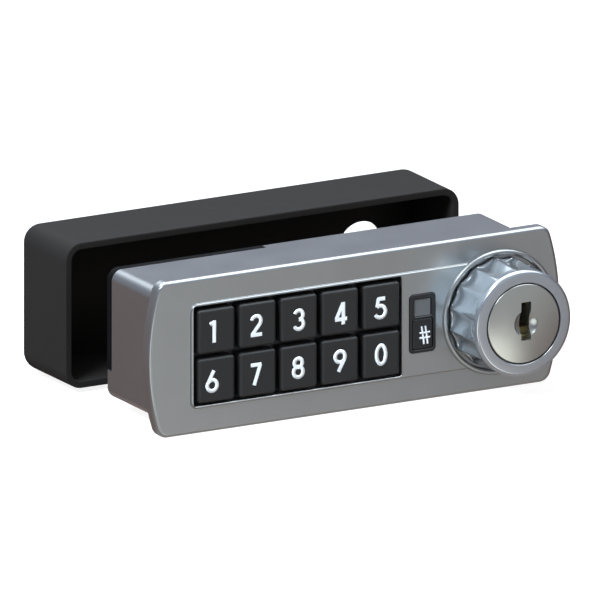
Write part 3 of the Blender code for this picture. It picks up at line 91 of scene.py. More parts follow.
# %% Camera
MM = 0.001
TURN = math.radians(29.2)
RISE = math.radians(15.5)
FRAME_PIXELS = 600
PIXELS_PER_METRE = 4253
AIM_RIGHT = -46.42 * MM
AIM_UP = 2.64 * MM
CAMERA_AWAY = 0.6
FLANGE_Y = -67.4 * MM

knob_low, knob_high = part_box("knob")
KNOB_X = (knob_low.x + knob_high.x) / 2
right = Vector((math.cos(TURN), -math.sin(TURN), 0))
up = Vector((math.sin(TURN) * math.sin(RISE), math.cos(TURN) * math.sin(RISE), math.cos(RISE)))
ahead = Vector((math.sin(TURN) * math.cos(RISE), math.cos(TURN) * math.cos(RISE), -math.sin(RISE)))
picture_width = FRAME_PIXELS / PIXELS_PER_METRE
camera_data = bpy.data.cameras.new("camera")
camera_data.type = "ORTHO"
camera_data.ortho_scale = picture_width
camera = add_piece("camera", camera_data)
place = Vector((KNOB_X, FLANGE_Y, 0)) + AIM_RIGHT * right + AIM_UP * up - CAMERA_AWAY * ahead
camera.matrix_world = Matrix.Translation(place) @ Matrix((right, up, -ahead)).transposed().to_4x4()
bpy.context.scene.camera = camera
print("knob axis at", round(KNOB_X / MM, 2), "mm, picture", round(picture_width / MM, 1), "mm wide")

# %% [markdown]
# ## Light, floor and background
# The lock stands in white nothing, lit softly from above and from the left. The world shows white to the
# camera. Reflections see a studio: bright overhead, greyer towards the floor, with round cards of light.
# Three cards are there for one thing each. The patch card lays the bright patch on the key plug, and the
# card for the left edges draws the thin light line down the flange's left side: only first reflections see
# these two. The skirt card is seen by later reflections alone: the knob's skirt mirrors the flange, and the
# flange that card. The floor adds a little of its own light for the camera, so that it melts into the white
# and keeps the lock's soft shadow.


# %% Helpers for node trees
def fill(made, values):
    """Fill a node's inputs with plain values, with sockets, or with the first outputs of other nodes."""
    for key, value in dict(values).items():
        source = value.outputs[0] if isinstance(value, bpy.types.Node) else value
        if isinstance(source, bpy.types.NodeSocket):
            made.id_data.links.new(source, made.inputs[key])
        else:
            made.inputs[key].default_value = source


def node(tree, kind, values=(), **settings):
    """Add a node, set its options and fill its inputs."""
    made = tree.nodes.new(kind)
    for key, value in settings.items():
        setattr(made, key, value)
    fill(made, values)
    return made


def calc(operation, *terms):
    """A Math node, in the tree that its terms belong to."""
    tree = next(term.id_data for term in terms if hasattr(term, "id_data"))
    return node(tree, "ShaderNodeMath", dict(enumerate(terms)), operation=operation)


# %% World
WORLD_LEVEL = 0.48
STUDIO_STRENGTH = 3.0
PAST_FIRST_BOUNCE = 1.5
WHITE = (1, 1, 1, 1)
# Rise of the direction, colour
STUDIO_BY_HEIGHT = (
    (-0.75, (0.190, 0.180, 0.175)),
    (-0.40, (0.076, 0.044, 0.038)),
    (-0.06, (0.074, 0.050, 0.046)),
    (0.10, (0.105, 0.105, 0.128)),
    (0.30, (0.088, 0.086, 0.115)),
    (0.60, (0.220, 0.255, 0.295)),
    (1.00, (0.280, 0.300, 0.320)),
)
# Name, direction, cosines of its edge and of its full core, colour, reflections that see it
CARDS = (
    ("front", (0.32, -0.945, -0.02), 0.79, 1.00, (0.136, 0.168, 0.186), "all"),
    ("ceiling", (0.00, 0.38, 0.92), 0.80, 0.95, (1.780, 1.940, 2.120), "all"),
    ("corner", (-0.49, -0.44, 0.75), 0.965, 0.99, (3.000, 3.200, 3.400), "all"),
    ("right", (0.47, -0.22, 0.85), 0.86, 0.97, (1.250, 1.350, 1.450), "all"),
    ("patch", (0.25, -0.84, -0.48), 0.968, 0.999, (0.720, 0.750, 0.715), "first"),
    ("left edges", (-0.45, -0.85, -0.27), 0.93, 0.985, (0.560, 0.650, 0.690), "first"),
    ("skirt", (-0.42, -0.88, 0.20), 0.70, 0.92, (0.660, 0.860, 1.030), "later"),
)
world = bpy.data.worlds.new("studio")
bpy.context.scene.world = world
world.use_nodes = True
sky = world.node_tree
sky.nodes.clear()
ray = node(sky, "ShaderNodeLightPath")
direction = node(sky, "ShaderNodeTexCoord").outputs["Generated"]
height = node(sky, "ShaderNodeSeparateXYZ", {0: direction}).outputs["Z"]
level = node(sky, "ShaderNodeMapRange", {0: height, 1: -1, 2: 1})
studio = node(sky, "ShaderNodeValToRGB", {0: level})
ramp = studio.color_ramp
ramp.interpolation = "EASE"
while len(ramp.elements) < len(STUDIO_BY_HEIGHT):
    ramp.elements.new(0.5)
for stop, (rise, colour) in zip(ramp.elements, STUDIO_BY_HEIGHT):
    stop.position = (rise + 1) / 2
    stop.color = (*colour, 1)
first_mirror = calc("LESS_THAN", ray.outputs["Glossy Depth"], PAST_FIRST_BOUNCE)
seen_by = {"all": 1, "first": first_mirror, "later": calc("SUBTRACT", 1, first_mirror)}
for name, towards, edge, core, colour, reflections in CARDS:
    aligned = node(sky, "ShaderNodeVectorMath", {0: direction, 1: Vector(towards).normalized()},
                   operation="DOT_PRODUCT").outputs["Value"]
    card = node(sky, "ShaderNodeMapRange", {0: aligned, 1: edge, 2: core}, interpolation_type="SMOOTHSTEP")
    card.label = name
    share = calc("MULTIPLY", card, seen_by[reflections])
    studio = node(sky, "ShaderNodeMixRGB", {0: share, 1: studio, 2: (*colour, 1)}, blend_type="ADD")
plain = node(sky, "ShaderNodeBackground", {0: WHITE, 1: WORLD_LEVEL})
white = node(sky, "ShaderNodeBackground", {0: WHITE, 1: 1.0})
mirrored = node(sky, "ShaderNodeBackground", {0: studio, 1: STUDIO_STRENGTH})
seen = calc("MAXIMUM", ray.outputs["Is Camera Ray"], ray.outputs["Is Transmission Ray"])
lit = node(sky, "ShaderNodeMixShader", {0: ray.outputs["Is Glossy Ray"], 1: plain, 2: mirrored})
shown = node(sky, "ShaderNodeMixShader", {0: seen, 1: lit, 2: white})
node(sky, "ShaderNodeOutputWorld", {0: shown})

bpy.context.scene.view_settings.view_transform = "Standard"

# %% Lamps: name, place, width, power, colour
LAMPS = (
    ("key_light", (-0.52, -0.22, 0.58), 0.35, 15.5, (0.76, 0.92, 1.08)),
    ("fill_light", (0.30, -0.75, 0.25), 0.6, 1.4, (1.0, 0.99, 0.97)),
)
lamp_target = Vector((0, FLANGE_Y / 2, 0))
for name, place, width, power, colour in LAMPS:
    data = bpy.data.lights.new(name, "AREA")
    data.shape = "DISK"
    data.size = width
    data.energy = power
    data.color = colour
    lamp = add_piece(name, data)
    lamp.location = place
    lamp.rotation_euler = (lamp_target - lamp.location).to_track_quat("-Z", "Y").to_euler()
    lamp.visible_glossy = False

# %% Floor
FLOOR_SIZE = 6
FLOOR_GLOW = 0.88
FLOOR_WHITE = (0.30, 0.295, 0.29, 1)
floor_mesh = bpy.data.meshes.new("floor")
floor_shape = bmesh.new()
bmesh.ops.create_grid(floor_shape, x_segments=1, y_segments=1, size=FLOOR_SIZE / 2)
bmesh.ops.translate(floor_shape, verts=floor_shape.verts, vec=(0, 0, solid_box[0].z))
floor_shape.to_mesh(floor_mesh)
floor_shape.free()
floor = add_piece("floor", floor_mesh)
floor_look = bpy.data.materials.new("floor_white")
floor_look.use_nodes = True
ground = floor_look.node_tree
ground.nodes.clear()
floor_ray = node(ground, "ShaderNodeLightPath").outputs
glow_level = calc("MULTIPLY", floor_ray["Is Camera Ray"], FLOOR_GLOW)
glow = node(ground, "ShaderNodeEmission", {0: WHITE, 1: glow_level})
matt = node(ground, "ShaderNodeBsdfDiffuse", {0: FLOOR_WHITE})
both = node(ground, "ShaderNodeAddShader", {0: glow, 1: matt})
passed = calc("MAXIMUM", floor_ray["Is Glossy Ray"], floor_ray["Is Transmission Ray"])
clear = node(ground, "ShaderNodeBsdfTransparent")
surface = node(ground, "ShaderNodeMixShader", {0: passed, 1: both, 2: clear})
node(ground, "ShaderNodeOutputMaterial", {0: surface})
floor.data.materials.append(floor_look)
print("floor at", round(solid_box[0].z / MM, 2), "mm")

# %% [markdown]
# ## Patterns that several finishes share
# Real surfaces are never one flat colour. A casting has a fine grain, moulded plastic a faint mottle, and
# turned metal carries rings about its axis. A face that is very slightly crowned catches the light unevenly.
# Each of these effects is one node group, built once. Every material below places the groups with its own
# scales and depths.


# %% Grain group: a fine bumpy texture and a slow change of tone
def group(name, inputs, outputs):
    """A new shader group with float sockets, and its input and output nodes."""
    tree = bpy.data.node_groups.new(name, "ShaderNodeTree")
    for label, value in inputs.items():
        socket = tree.interface.new_socket(label, in_out="INPUT", socket_type="NodeSocketFloat")
        socket.default_value = value
    for label in outputs:
        tree.interface.new_socket(label, in_out="OUTPUT", socket_type="NodeSocketFloat")
    return tree, tree.nodes.new("NodeGroupInput").outputs, tree.nodes.new("NodeGroupOutput")


grain, grain_in, grain_out = group("fine_grain", {"Grain Size": 0.2 * MM, "Mottle Size": 8 * MM},
                                   ("Grain", "Mottle"))
spot = node(grain, "ShaderNodeTexCoord").outputs["Object"]
for label, detail, roughness in (("Grain", 2, 0.6), ("Mottle", 3, 0.5)):
    scale = calc("DIVIDE", 1, grain_in[label + " Size"])
    noise = node(grain, "ShaderNodeTexNoise",
                 {"Vector": spot, "Scale": scale, "Detail": detail, "Roughness": roughness})
    fill(grain_out, {label: noise})

# %% Turning group: rings about an axis that runs along Y
turning, turning_in, turning_out = group(
    "turned_rings", {"Axis X": KNOB_X, "Axis Z": 0, "Ring Width": 0.15 * MM}, ("Rings",))
spot = node(turning, "ShaderNodeTexCoord").outputs["Object"]
spot = node(turning, "ShaderNodeSeparateXYZ", {0: spot}).outputs
from_x = calc("SUBTRACT", spot["X"], turning_in["Axis X"])
from_z = calc("SUBTRACT", spot["Z"], turning_in["Axis Z"])
squares = calc("ADD", calc("MULTIPLY", from_x, from_x), calc("MULTIPLY", from_z, from_z))
distance = calc("SQRT", squares)
ring_count = calc("DIVIDE", distance, turning_in["Ring Width"])
rings = node(turning, "ShaderNodeTexNoise", {"W": ring_count, "Scale": 1, "Detail": 3, "Roughness": 0.7},
             noise_dimensions="1D")
fill(turning_out, {"Rings": rings})

# %% Crown group: the height of a face that swells towards its middle
crowning, crowning_in, crowning_out = group("crowned_face", {"Middle X": 0, "Crown Radius": 1.0}, ("Crown",))
spot = node(crowning, "ShaderNodeTexCoord").outputs["Object"]
spot = node(crowning, "ShaderNodeSeparateXYZ", {0: spot}).outputs
from_x = calc("SUBTRACT", spot["X"], crowning_in["Middle X"])
squares = calc("ADD", calc("MULTIPLY", from_x, from_x), calc("MULTIPLY", spot["Z"], spot["Z"]))
minus_width = calc("MULTIPLY", crowning_in["Crown Radius"], -2)
fill(crowning_out, {"Crown": calc("DIVIDE", squares, minus_width)})


# %% A material built from a colour and the groups
def finish(name, colour, roughness, metallic, grain_size, grain_depth, mottle, spread,
           shine=0.5, coat=0.0, crown=None, rings=0.0):
    """A finish: sizes in mm, mottle the share of brightness that drifts, spread that of roughness."""
    look = bpy.data.materials.new(name)
    look.use_nodes = True
    tree = look.node_tree
    texture = node(tree, "ShaderNodeGroup", {"Grain Size": grain_size * MM}, node_tree=grain)
    drift = calc("MULTIPLY_ADD", texture.outputs["Mottle"], 2 * mottle, 1 - mottle)
    tone = node(tree, "ShaderNodeHueSaturation", {"Color": (*colour, 1), "Value": drift})
    rough = calc("MULTIPLY_ADD", texture.outputs["Mottle"], 2 * spread, roughness - spread)
    height = texture.outputs["Grain"]
    if rings:
        marks = node(tree, "ShaderNodeGroup", node_tree=turning)
        height = calc("MULTIPLY_ADD", marks, rings, height)
    bump = node(tree, "ShaderNodeBump", {"Height": height, "Distance": grain_depth * MM, "Strength": 1.0})
    if crown:
        swell = node(tree, "ShaderNodeGroup", dict(zip(("Middle X", "Crown Radius"), crown)),
                     node_tree=crowning)
        fill(bump, {"Normal": node(tree, "ShaderNodeBump", {"Height": swell, "Distance": 1.0})})
    fill(tree.nodes["Principled BSDF"], {
        "Base Color": tone, "Roughness": rough, "Metallic": metallic, "Coat Weight": coat,
        "Specular IOR Level": shine, "Normal": bump})
    return look


# Colour, roughness, metallic share, grain size and depth, mottle, spread, and for some also
# shine, coat, crown (the X of its middle and its radius) and rings
FINISHES = {
    "satin_silver": ((0.306, 0.312, 0.308), 0.30, 0.90, 0.22, 0.006, 0.05, 0.04, 0.5, 0, (0, 1800 * MM)),
    "plated_silver": ((0.358, 0.372, 0.386), 0.18, 0.80, 0.3, 0.001, 0.04, 0.04, 0.5, 0, (KNOB_X, 700 * MM)),
    "plug_metal": ((0.38, 0.385, 0.355), 0.21, 0.90, 0.3, 0.003, 0.05, 0.05, 0.5, 0, (KNOB_X, 80 * MM), 0.6),
    "black_plastic": ((0.0165, 0.0145, 0.0132), 0.62, 0, 0.25, 0.012, 0.10, 0.06, 0.06),
    # A blacker, duller copy of black_plastic for the battery door: painted shade for the shade that falls in
    # the notch where it sits.
    "shaded_door_plastic": ((0.004, 0.004, 0.004), 0.62, 0, 0.25, 0.012, 0.10, 0.06, 0.03),
    "key_rubber": ((0.0085, 0.0085, 0.0082), 0.48, 0, 0.12, 0.008, 0.10, 0.05, 0.45),
    "panel_plastic": ((0.0085, 0.008, 0.009), 0.36, 0, 0.2, 0.004, 0.08, 0.05, 0.38),
    "smoked_plastic": ((0.10, 0.105, 0.11), 0.25, 0, 0.5, 0.001, 0.05, 0.04, 0.5, 0.3),
    "grey_rubber": ((0.08, 0.08, 0.085), 0.7, 0, 0.2, 0.01, 0.08, 0.05),
    "board_green": ((0.02, 0.10, 0.04), 0.38, 0, 0.3, 0.004, 0.15, 0.06),
    "chip_black": ((0.015, 0.015, 0.016), 0.5, 0, 0.15, 0.006, 0.10, 0.05),
    "bright_steel": ((0.45, 0.45, 0.46), 0.3, 1, 0.3, 0.002, 0.06, 0.06),
    "brass": ((0.6, 0.42, 0.16), 0.33, 1, 0.3, 0.002, 0.08, 0.06),
    "cell_wrap": ((0.10, 0.12, 0.30), 0.33, 0, 0.5, 0.002, 0.05, 0.04, 0.5, 0.3),
    "led_clear": ((0.7, 0.75, 0.7), 0.15, 0, 0.5, 0.001, 0.03, 0.03),
    "white_nylon": ((0.6, 0.6, 0.57), 0.45, 0, 0.3, 0.004, 0.05, 0.05),
    "white_print": ((0.82, 0.83, 0.84), 0.5, 0, 0.15, 0.004, 0.03, 0.04),
}
LOOKS = {name: finish(name, *values) for name, values in FINISHES.items()}
print("finishes:", len(LOOKS))

# %% [markdown]
# ## Drawing outlines and lofting between them
# Most pieces of this lock are plates and cups: an outline in the XZ plane, pulled along Y, with soft edges.
# A Bevel modifier could soften them, but the width then depends on the mesh. Here a piece is lofted through
# rings of points instead, and each edge is a quarter circle of rings that step inwards.

# %% Outlines
CORNER_STEPS = 14


def oval(centre, wide, tall, start, end, steps=28):
    """Points along an ellipse, in degrees, both ends included."""
    angles = [math.radians(start + (end - start) * i / steps) for i in range(steps + 1)]
    return [(centre[0] + wide * math.cos(a), centre[1] + tall * math.sin(a)) for a in angles]


def arc(centre, radius, start, end, steps=28):
    """Points along a part of a circle."""
    return oval(centre, radius, radius, start, end, steps)


def rounded(length, height, corner, centre=(0, 0)):
    """A function that gives the outline of a round-cornered rectangle, drawn in by an inset."""
    def outline(inset=0):
        turn = corner - inset
        half_x = length / 2 - corner
        half_z = height / 2 - corner
        points = []
        for quarter, (side_x, side_z) in enumerate(((1, 1), (-1, 1), (-1, -1), (1, -1))):
            middle = (centre[0] + side_x * half_x, centre[1] + side_z * half_z)
            points += arc(middle, turn, 90 * quarter, 90 * quarter + 90, CORNER_STEPS)
        return points
    return outline


def edge_round(radius, steps):
    """Insets and depths down a quarter circle, from a face to its side. With no radius, one place."""
    angles = [math.pi / 2 * i / steps for i in range(steps + 1 if radius else 1)]
    return [(radius * (1 - math.sin(a)), radius * (1 - math.cos(a))) for a in angles]


# %% Lofts
def loft(name, rings, closed=False):
    """A solid skin through rings of points, capped at both ends or closed on itself."""
    shape = bmesh.new()
    rows = [[shape.verts.new(point) for point in ring] for ring in rings]
    pairs = list(zip(rows, rows[1:]))
    if closed:
        pairs.append((rows[-1], rows[0]))
    else:
        shape.faces.new(rows[0])
        shape.faces.new(rows[-1])
    for front, back in pairs:
        for i in range(len(front)):
            j = (i + 1) % len(front)
            shape.faces.new((front[i], front[j], back[j], back[i]))
    bmesh.ops.recalc_face_normals(shape, faces=shape.faces)
    mesh = bpy.data.meshes.new(name)
    shape.to_mesh(mesh)
    shape.free()
    return add_piece(name, mesh)


def stack(name, outline, rows):
    """A loft through rows of inset and Y: the outline drawn in by the inset, at that Y."""
    return loft(name, [[(x, y, z) for x, z in outline(inset)] for inset, y in rows])


def plate(name, outline, y_front, y_back, front=0.0, back=0.0, steps=6):
    """A plate or plug with rounded front and back edges."""
    rows = [(inset, y_front + depth) for inset, depth in edge_round(front, steps)]
    rows += [(inset, y_back - depth) for inset, depth in edge_round(back, steps)[::-1]]
    return stack(name, outline, rows)


def turned(name, profile, place=(KNOB_X, 0), steps=180, closed=False):
    """A profile of radius and Y pairs turned about the Y line through place, by default the knob's."""
    rings = [[(x, y, z) for x, z in arc(place, radius, 0, 360, steps)[:-1]] for radius, y in profile]
    return loft(name, rings, closed)


def rod(name, radius, y_front, y_back, *round_what):
    """A straight rod along Y."""
    return turned(name, [(radius, y_front), (radius, y_back)], *round_what)


# %% Solid tools
SMOOTH_ANGLE = math.radians(30)
NORMAL_WEIGHT = 80


def plain_mesh(piece):
    """The mesh that a piece's modifiers make."""
    graph = bpy.context.evaluated_depsgraph_get()
    return bpy.data.meshes.new_from_object(piece.evaluated_get(graph))


def baked(piece):
    """Turn a piece's modifiers into plain mesh."""
    mesh = plain_mesh(piece)
    piece.modifiers.clear()
    piece.data = mesh
    return mesh


def settled(piece):
    """Bake a piece, and make it smooth except at its sharp edges."""
    mesh = baked(piece)
    mesh.shade_smooth()
    mesh.set_sharp_from_angle(angle=SMOOTH_ANGLE)


def combine(target, operation, *pieces):
    """Join pieces to a target or cut them out of it, and drop them."""
    for piece in pieces:
        boolean = target.modifiers.new(piece.name, "BOOLEAN")
        boolean.operation = operation
        boolean.object = piece
    settled(target)
    for piece in pieces:
        bpy.data.objects.remove(piece, do_unlink=True)


def dress(piece, body, slot, *nodes, look=None):
    """Weight a piece's normals, give it its finish and its body, and let it stand for its solids."""
    weighted = piece.modifiers.new("normals", "WEIGHTED_NORMAL")
    weighted.keep_sharp = True
    weighted.weight = NORMAL_WEIGHT
    mesh = baked(piece)
    mesh.materials.clear()
    mesh.materials.append(LOOKS[look or slot])
    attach(piece, body)
    if nodes:
        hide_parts(*nodes)
    return piece


# %% Where a solid's front is
def front_centre(low, high):
    """The X and Z of the middle of a box."""
    return (low.x + high.x) / 2, (low.z + high.z) / 2


def head_centre(name):
    """The centre of the outer face of a screw's head."""
    low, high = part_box(name)
    x, z = front_centre(low, high)
    return Vector((x, high.y, z))


# %% Geometry Nodes trees: how each begins, ends and runs
def geometry_tree(name, material, *floats):
    """A tree with geometry, a material and numbers as named inputs."""
    tree = bpy.data.node_groups.new(name, "GeometryNodeTree")
    tree.is_modifier = True
    tree.interface.new_socket("Geometry", in_out="INPUT", socket_type="NodeSocketGeometry")
    for label in floats:
        tree.interface.new_socket(label, in_out="INPUT", socket_type="NodeSocketFloat")
    tree.interface.new_socket(material, in_out="INPUT", socket_type="NodeSocketMaterial")
    tree.interface.new_socket("Geometry", in_out="OUTPUT", socket_type="NodeSocketGeometry")
    return tree, tree.nodes.new("NodeGroupInput").outputs


def end_tree(tree, shape, material):
    """The last three nodes of a tree: real geometry, its material and the output."""
    real = node(tree, "GeometryNodeRealizeInstances", {0: shape})
    finished = node(tree, "GeometryNodeSetMaterial", {0: real, "Material": material})
    node(tree, "NodeGroupOutput", {0: finished})


def run_tree(piece, tree, values):
    """Run a Geometry Nodes tree on a piece with named inputs, and keep the result as plain mesh."""
    modifier = piece.modifiers.new(tree.name, "NODES")
    modifier.node_group = tree
    for item in tree.interface.items_tree:
        if item.item_type == "SOCKET" and item.in_out == "INPUT" and item.name in values:
            modifier[item.identifier] = values[item.name]
    mesh = plain_mesh(piece)
    name = piece.name
    bpy.data.objects.remove(piece, do_unlink=True)
    return add_piece(name, mesh)


# %% [markdown]
# ## The rear tray
# The tray is a deep black cup, open to the front, with a wide soft edge round its back and a hole for the
# spindle. Two lofts make it: the outer form, and the room inside that is cut from it.

# %% Tray
TRAY_RIM_Y = -23.0 * MM
TRAY_LENGTH = 106.0 * MM
TRAY_HEIGHT = 35.5 * MM
TRAY_CORNER = 4.4 * MM
TRAY_WALL = 1.7 * MM
RIM_ROUND = 0.3 * MM
HOLE_RADIUS = 6.0 * MM
HOLE_CHAMFER = 0.3 * MM
OVERRUN = 1.0 * MM

tray = plate("tray", rounded(TRAY_LENGTH, TRAY_HEIGHT, TRAY_CORNER), TRAY_RIM_Y, 0, front=RIM_ROUND,
             back=3.8 * MM, steps=10)
inside = rounded(TRAY_LENGTH - 2 * TRAY_WALL, TRAY_HEIGHT - 2 * TRAY_WALL, TRAY_CORNER - TRAY_WALL)
room = stack("room", inside, (
    (-RIM_ROUND, TRAY_RIM_Y - OVERRUN), (-RIM_ROUND, TRAY_RIM_Y),
    (-0.3 * RIM_ROUND, TRAY_RIM_Y + 0.3 * RIM_ROUND), (0, TRAY_RIM_Y + RIM_ROUND), (0, -TRAY_WALL)))
hole = turned("hole", [(HOLE_RADIUS, -TRAY_WALL - OVERRUN), (HOLE_RADIUS, -HOLE_CHAMFER),
                       (HOLE_RADIUS + HOLE_CHAMFER, 0), (HOLE_RADIUS + HOLE_CHAMFER, OVERRUN)])
combine(tray, "DIFFERENCE", room, hole)
dress(tray, "tray", "black_plastic", "rear_tray")
print("tray faces:", len(tray.data.polygons))

# %% [markdown]
# ## The case
# One casting carries everything: the flange with its bowed ends, the body behind it, a plateau round the
# keypad and a raised ring round the knob. Each is a loft, and Booleans join them as the mould would. The
# plateau's side is an S curve of two quarter circles, so that it grows out of the flange with no hard line.

# %% Outline of the flange
FLANGE_LENGTH = 111.0 * MM
FLANGE_HEIGHT = 38.0 * MM
FLANGE_BOW = 3.2 * MM
FLANGE_CORNER = 3.0 * MM
BOW_STEPS = 40


def flange(inset=0):
    """A rectangle with round corners and ends that bow outwards, drawn in by an inset."""
    half_height = FLANGE_HEIGHT / 2
    bow_radius = (half_height ** 2 + FLANGE_BOW ** 2) / (2 * FLANGE_BOW)
    bow_centre = FLANGE_LENGTH / 2 - bow_radius
    corner_z = half_height - FLANGE_CORNER
    reach = bow_radius - FLANGE_CORNER
    corner_x = bow_centre + math.sqrt(reach ** 2 - corner_z ** 2)
    meet = math.degrees(math.asin(corner_z / reach))
    side = arc((corner_x, -corner_z), FLANGE_CORNER - inset, -90, -meet, CORNER_STEPS)
    side += arc((bow_centre, 0), bow_radius - inset, -meet, meet, BOW_STEPS)[1:-1]
    side += arc((corner_x, corner_z), FLANGE_CORNER - inset, meet, 90, CORNER_STEPS)
    return side + [(-x, -z) for x, z in side]


# %% Flange, body and plateau
WALL_Y = -64.3 * MM
LIP_Y = -39.6 * MM
PLATEAU_Y = -68.0 * MM
BODY_LENGTH = 102.2 * MM
BODY_HEIGHT = 31.7 * MM
BODY_CORNER = 2.8 * MM
BODY_WALL = 1.6 * MM
KEYPAD_X = -15.6 * MM
KEYPAD_LENGTH = 56.0 * MM
KEYPAD_HEIGHT = 24.4 * MM
PLATEAU_SIDE = 0.7 * MM
PLATEAU_RIM = 0.6 * MM
PLATEAU_CORNER = 2.0 * MM
PLATEAU_ROUND = 0.45 * MM
PLATEAU_FILLET = 0.15 * MM

case = plate("case", flange, FLANGE_Y, WALL_Y, front=0.9 * MM, back=0.25 * MM)
body = plate("body", rounded(BODY_LENGTH, BODY_HEIGHT, BODY_CORNER), WALL_Y - OVERRUN, LIP_Y, back=0.3 * MM)
plateau_left = KEYPAD_X - KEYPAD_LENGTH / 2 - PLATEAU_SIDE
plateau_edge = rounded(KNOB_X - plateau_left, KEYPAD_HEIGHT + 2 * PLATEAU_RIM, PLATEAU_CORNER,
                       ((KNOB_X + plateau_left) / 2, 0))
plateau_rows = [(-PLATEAU_FILLET, FLANGE_Y + OVERRUN)]
plateau_rows += [(x - PLATEAU_FILLET, FLANGE_Y - PLATEAU_FILLET + y)
                 for y, x in arc((0, 0), PLATEAU_FILLET, 0, 90, 4)]
plateau_rows += [(PLATEAU_ROUND - x, PLATEAU_Y + PLATEAU_ROUND - y)
                 for x, y in arc((0, 0), PLATEAU_ROUND, 0, 90, 10)][1:]
combine(case, "UNION", body, stack("plateau", plateau_edge, plateau_rows))

# %% Ring round the knob
RING_INNER = 13.85 * MM
RING_OUTER = 15.2 * MM
RING_HEIGHT = 1.3 * MM
RECESS_DEPTH = 0.2 * MM
ring_round = (RING_OUTER - RING_INNER) / 2
ring_middle = (RING_OUTER + RING_INNER) / 2
ring_top = FLANGE_Y - RING_HEIGHT + ring_round
ring_profile = [(RING_INNER, FLANGE_Y + OVERRUN)]
ring_profile += [(ring_middle + x, ring_top - y) for x, y in arc((0, 0), ring_round, 180, 0, 12)]
ring_profile += [(RING_OUTER, FLANGE_Y + OVERRUN)]
combine(case, "DIFFERENCE", rod("recess", ring_middle, PLATEAU_Y - OVERRUN, FLANGE_Y + RECESS_DEPTH))
combine(case, "UNION", turned("ring", ring_profile, closed=True))

# %% Openings
PANEL_CENTRE = (17.9 * MM, 0.1 * MM)
PANEL_LENGTH = 7.0 * MM
PANEL_HEIGHT = 14.2 * MM
PANEL_GAP = 0.08 * MM
GAP = 0.3 * MM
BUSH_HOLE = 9.8 * MM
BUSH_FLANGE = 1.1 * MM
NOTCH_RIGHT = -9.4 * MM
NOTCH_BOTTOM = -8.8 * MM
NOTCH_DEPTH = 2.2 * MM


def opening(name, outline, y_front, y_back, lead):
    """A cutter with a small lead-in at the front."""
    return stack(name, outline, ((-lead - OVERRUN, y_front - OVERRUN), (-lead, y_front),
                                 (0, y_front + lead), (0, y_back)))


keypad_hole = opening("keypad_hole", rounded(KEYPAD_LENGTH, KEYPAD_HEIGHT, 0.6 * MM, (KEYPAD_X, 0)),
                      PLATEAU_Y, WALL_Y + OVERRUN, lead=0.1 * MM)
panel_room = rounded(PANEL_LENGTH + 2 * PANEL_GAP, PANEL_HEIGHT + 2 * PANEL_GAP, 1.1 * MM, PANEL_CENTRE)
panel_hole = opening("panel_hole", panel_room, PLATEAU_Y, WALL_Y + OVERRUN, lead=0.05 * MM)
hollow = rounded(BODY_LENGTH - 2 * BODY_WALL, BODY_HEIGHT - 2 * BODY_WALL, BODY_CORNER - BODY_WALL)
cavity = plate("cavity", hollow, WALL_Y, LIP_Y + OVERRUN)
bush_hole = rod("bush_hole", BUSH_HOLE, FLANGE_Y - OVERRUN, WALL_Y + OVERRUN)
notch_left = -BODY_LENGTH / 2 - OVERRUN
notch_shape = ((notch_left, NOTCH_BOTTOM), (NOTCH_RIGHT, NOTCH_BOTTOM), (NOTCH_RIGHT, BODY_HEIGHT),
               (notch_left, BODY_HEIGHT))
notch = loft("notch", [[(x, y, z) for x, z in notch_shape] for y in (LIP_Y - NOTCH_DEPTH, LIP_Y + OVERRUN)])
bush_low, bush_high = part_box("knob_bush")
seat_radius = (bush_high.x - bush_low.x) / 2 + GAP
bush_seat = rod("bush_seat", seat_radius, FLANGE_Y - OVERRUN, bush_low.y + BUSH_FLANGE)
combine(case, "DIFFERENCE", cavity, keypad_hole, panel_hole, bush_hole, bush_seat, notch)

# %% Columns and bosses inside the case: screws, radius, end and thread's radius of each kind
COVER_SCREWS = ["cover_screw_%d" % number for number in (1, 2, 3, 4)]
BOARD_SCREWS = ["board_screw_1", "board_screw_2"]
POSTS = (
    (COVER_SCREWS, 2.6 * MM, -41.4 * MM, 1.1 * MM),
    (BOARD_SCREWS, 1.8 * MM, -62.8 * MM, 1.0 * MM),
)
THREAD_DEPTH = 8.6 * MM
for screws, radius, end_y, thread in POSTS:
    bottom = max(end_y - THREAD_DEPTH, WALL_Y - OVERRUN)
    for screw in screws:
        place = head_centre(screw).xz
        combine(case, "UNION", rod("column", radius, WALL_Y - OVERRUN, end_y, place, 40))
        combine(case, "DIFFERENCE", rod("thread", thread, bottom, end_y + OVERRUN, place, 24))
dress(case, "case", "satin_silver", "front_case")
print("case faces:", len(case.data.polygons))

# %% [markdown]
# ## The keys
# The ten keys are black rubber caps with soft edges. All have the same shape, so one loft serves for every
# place in the grid. Each cap is its own object, because each moves by itself.

# %% Key caps
KEY_BACK_Y = -65.1 * MM
CAP_STEPS = 8


def cap(name, key, slot, bevel, corner, stem_radius, trim=0):
    """A key cap in the room of its solid: soft in front, trimmed at its left and top, a stem behind."""
    low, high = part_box(key)
    centre = front_centre(low, high)
    edge = rounded(high.x - low.x - trim, high.z - low.z - trim, corner,
                   (centre[0] + trim / 2, centre[1] - trim / 2))
    rows = [(inset, low.y + depth) for inset, depth in edge_round(bevel, CAP_STEPS)]
    piece = stack(name, edge, rows + [(0, KEY_BACK_Y)])
    combine(piece, "UNION", rod("stem", stem_radius, KEY_BACK_Y - OVERRUN, high.y, centre, 32))
    dress(piece, key, slot, key)


for number in range(10):
    cap("cap_%d" % number, "key_%d" % number, "key_rubber", bevel=0.8 * MM, corner=0.85 * MM,
        stem_radius=1.8 * MM, trim=0.35 * MM)
cap("cap_hash", "key_hash", "panel_plastic", bevel=0.3 * MM, corner=0.5 * MM, stem_radius=1.5 * MM)
print("keys: 11")

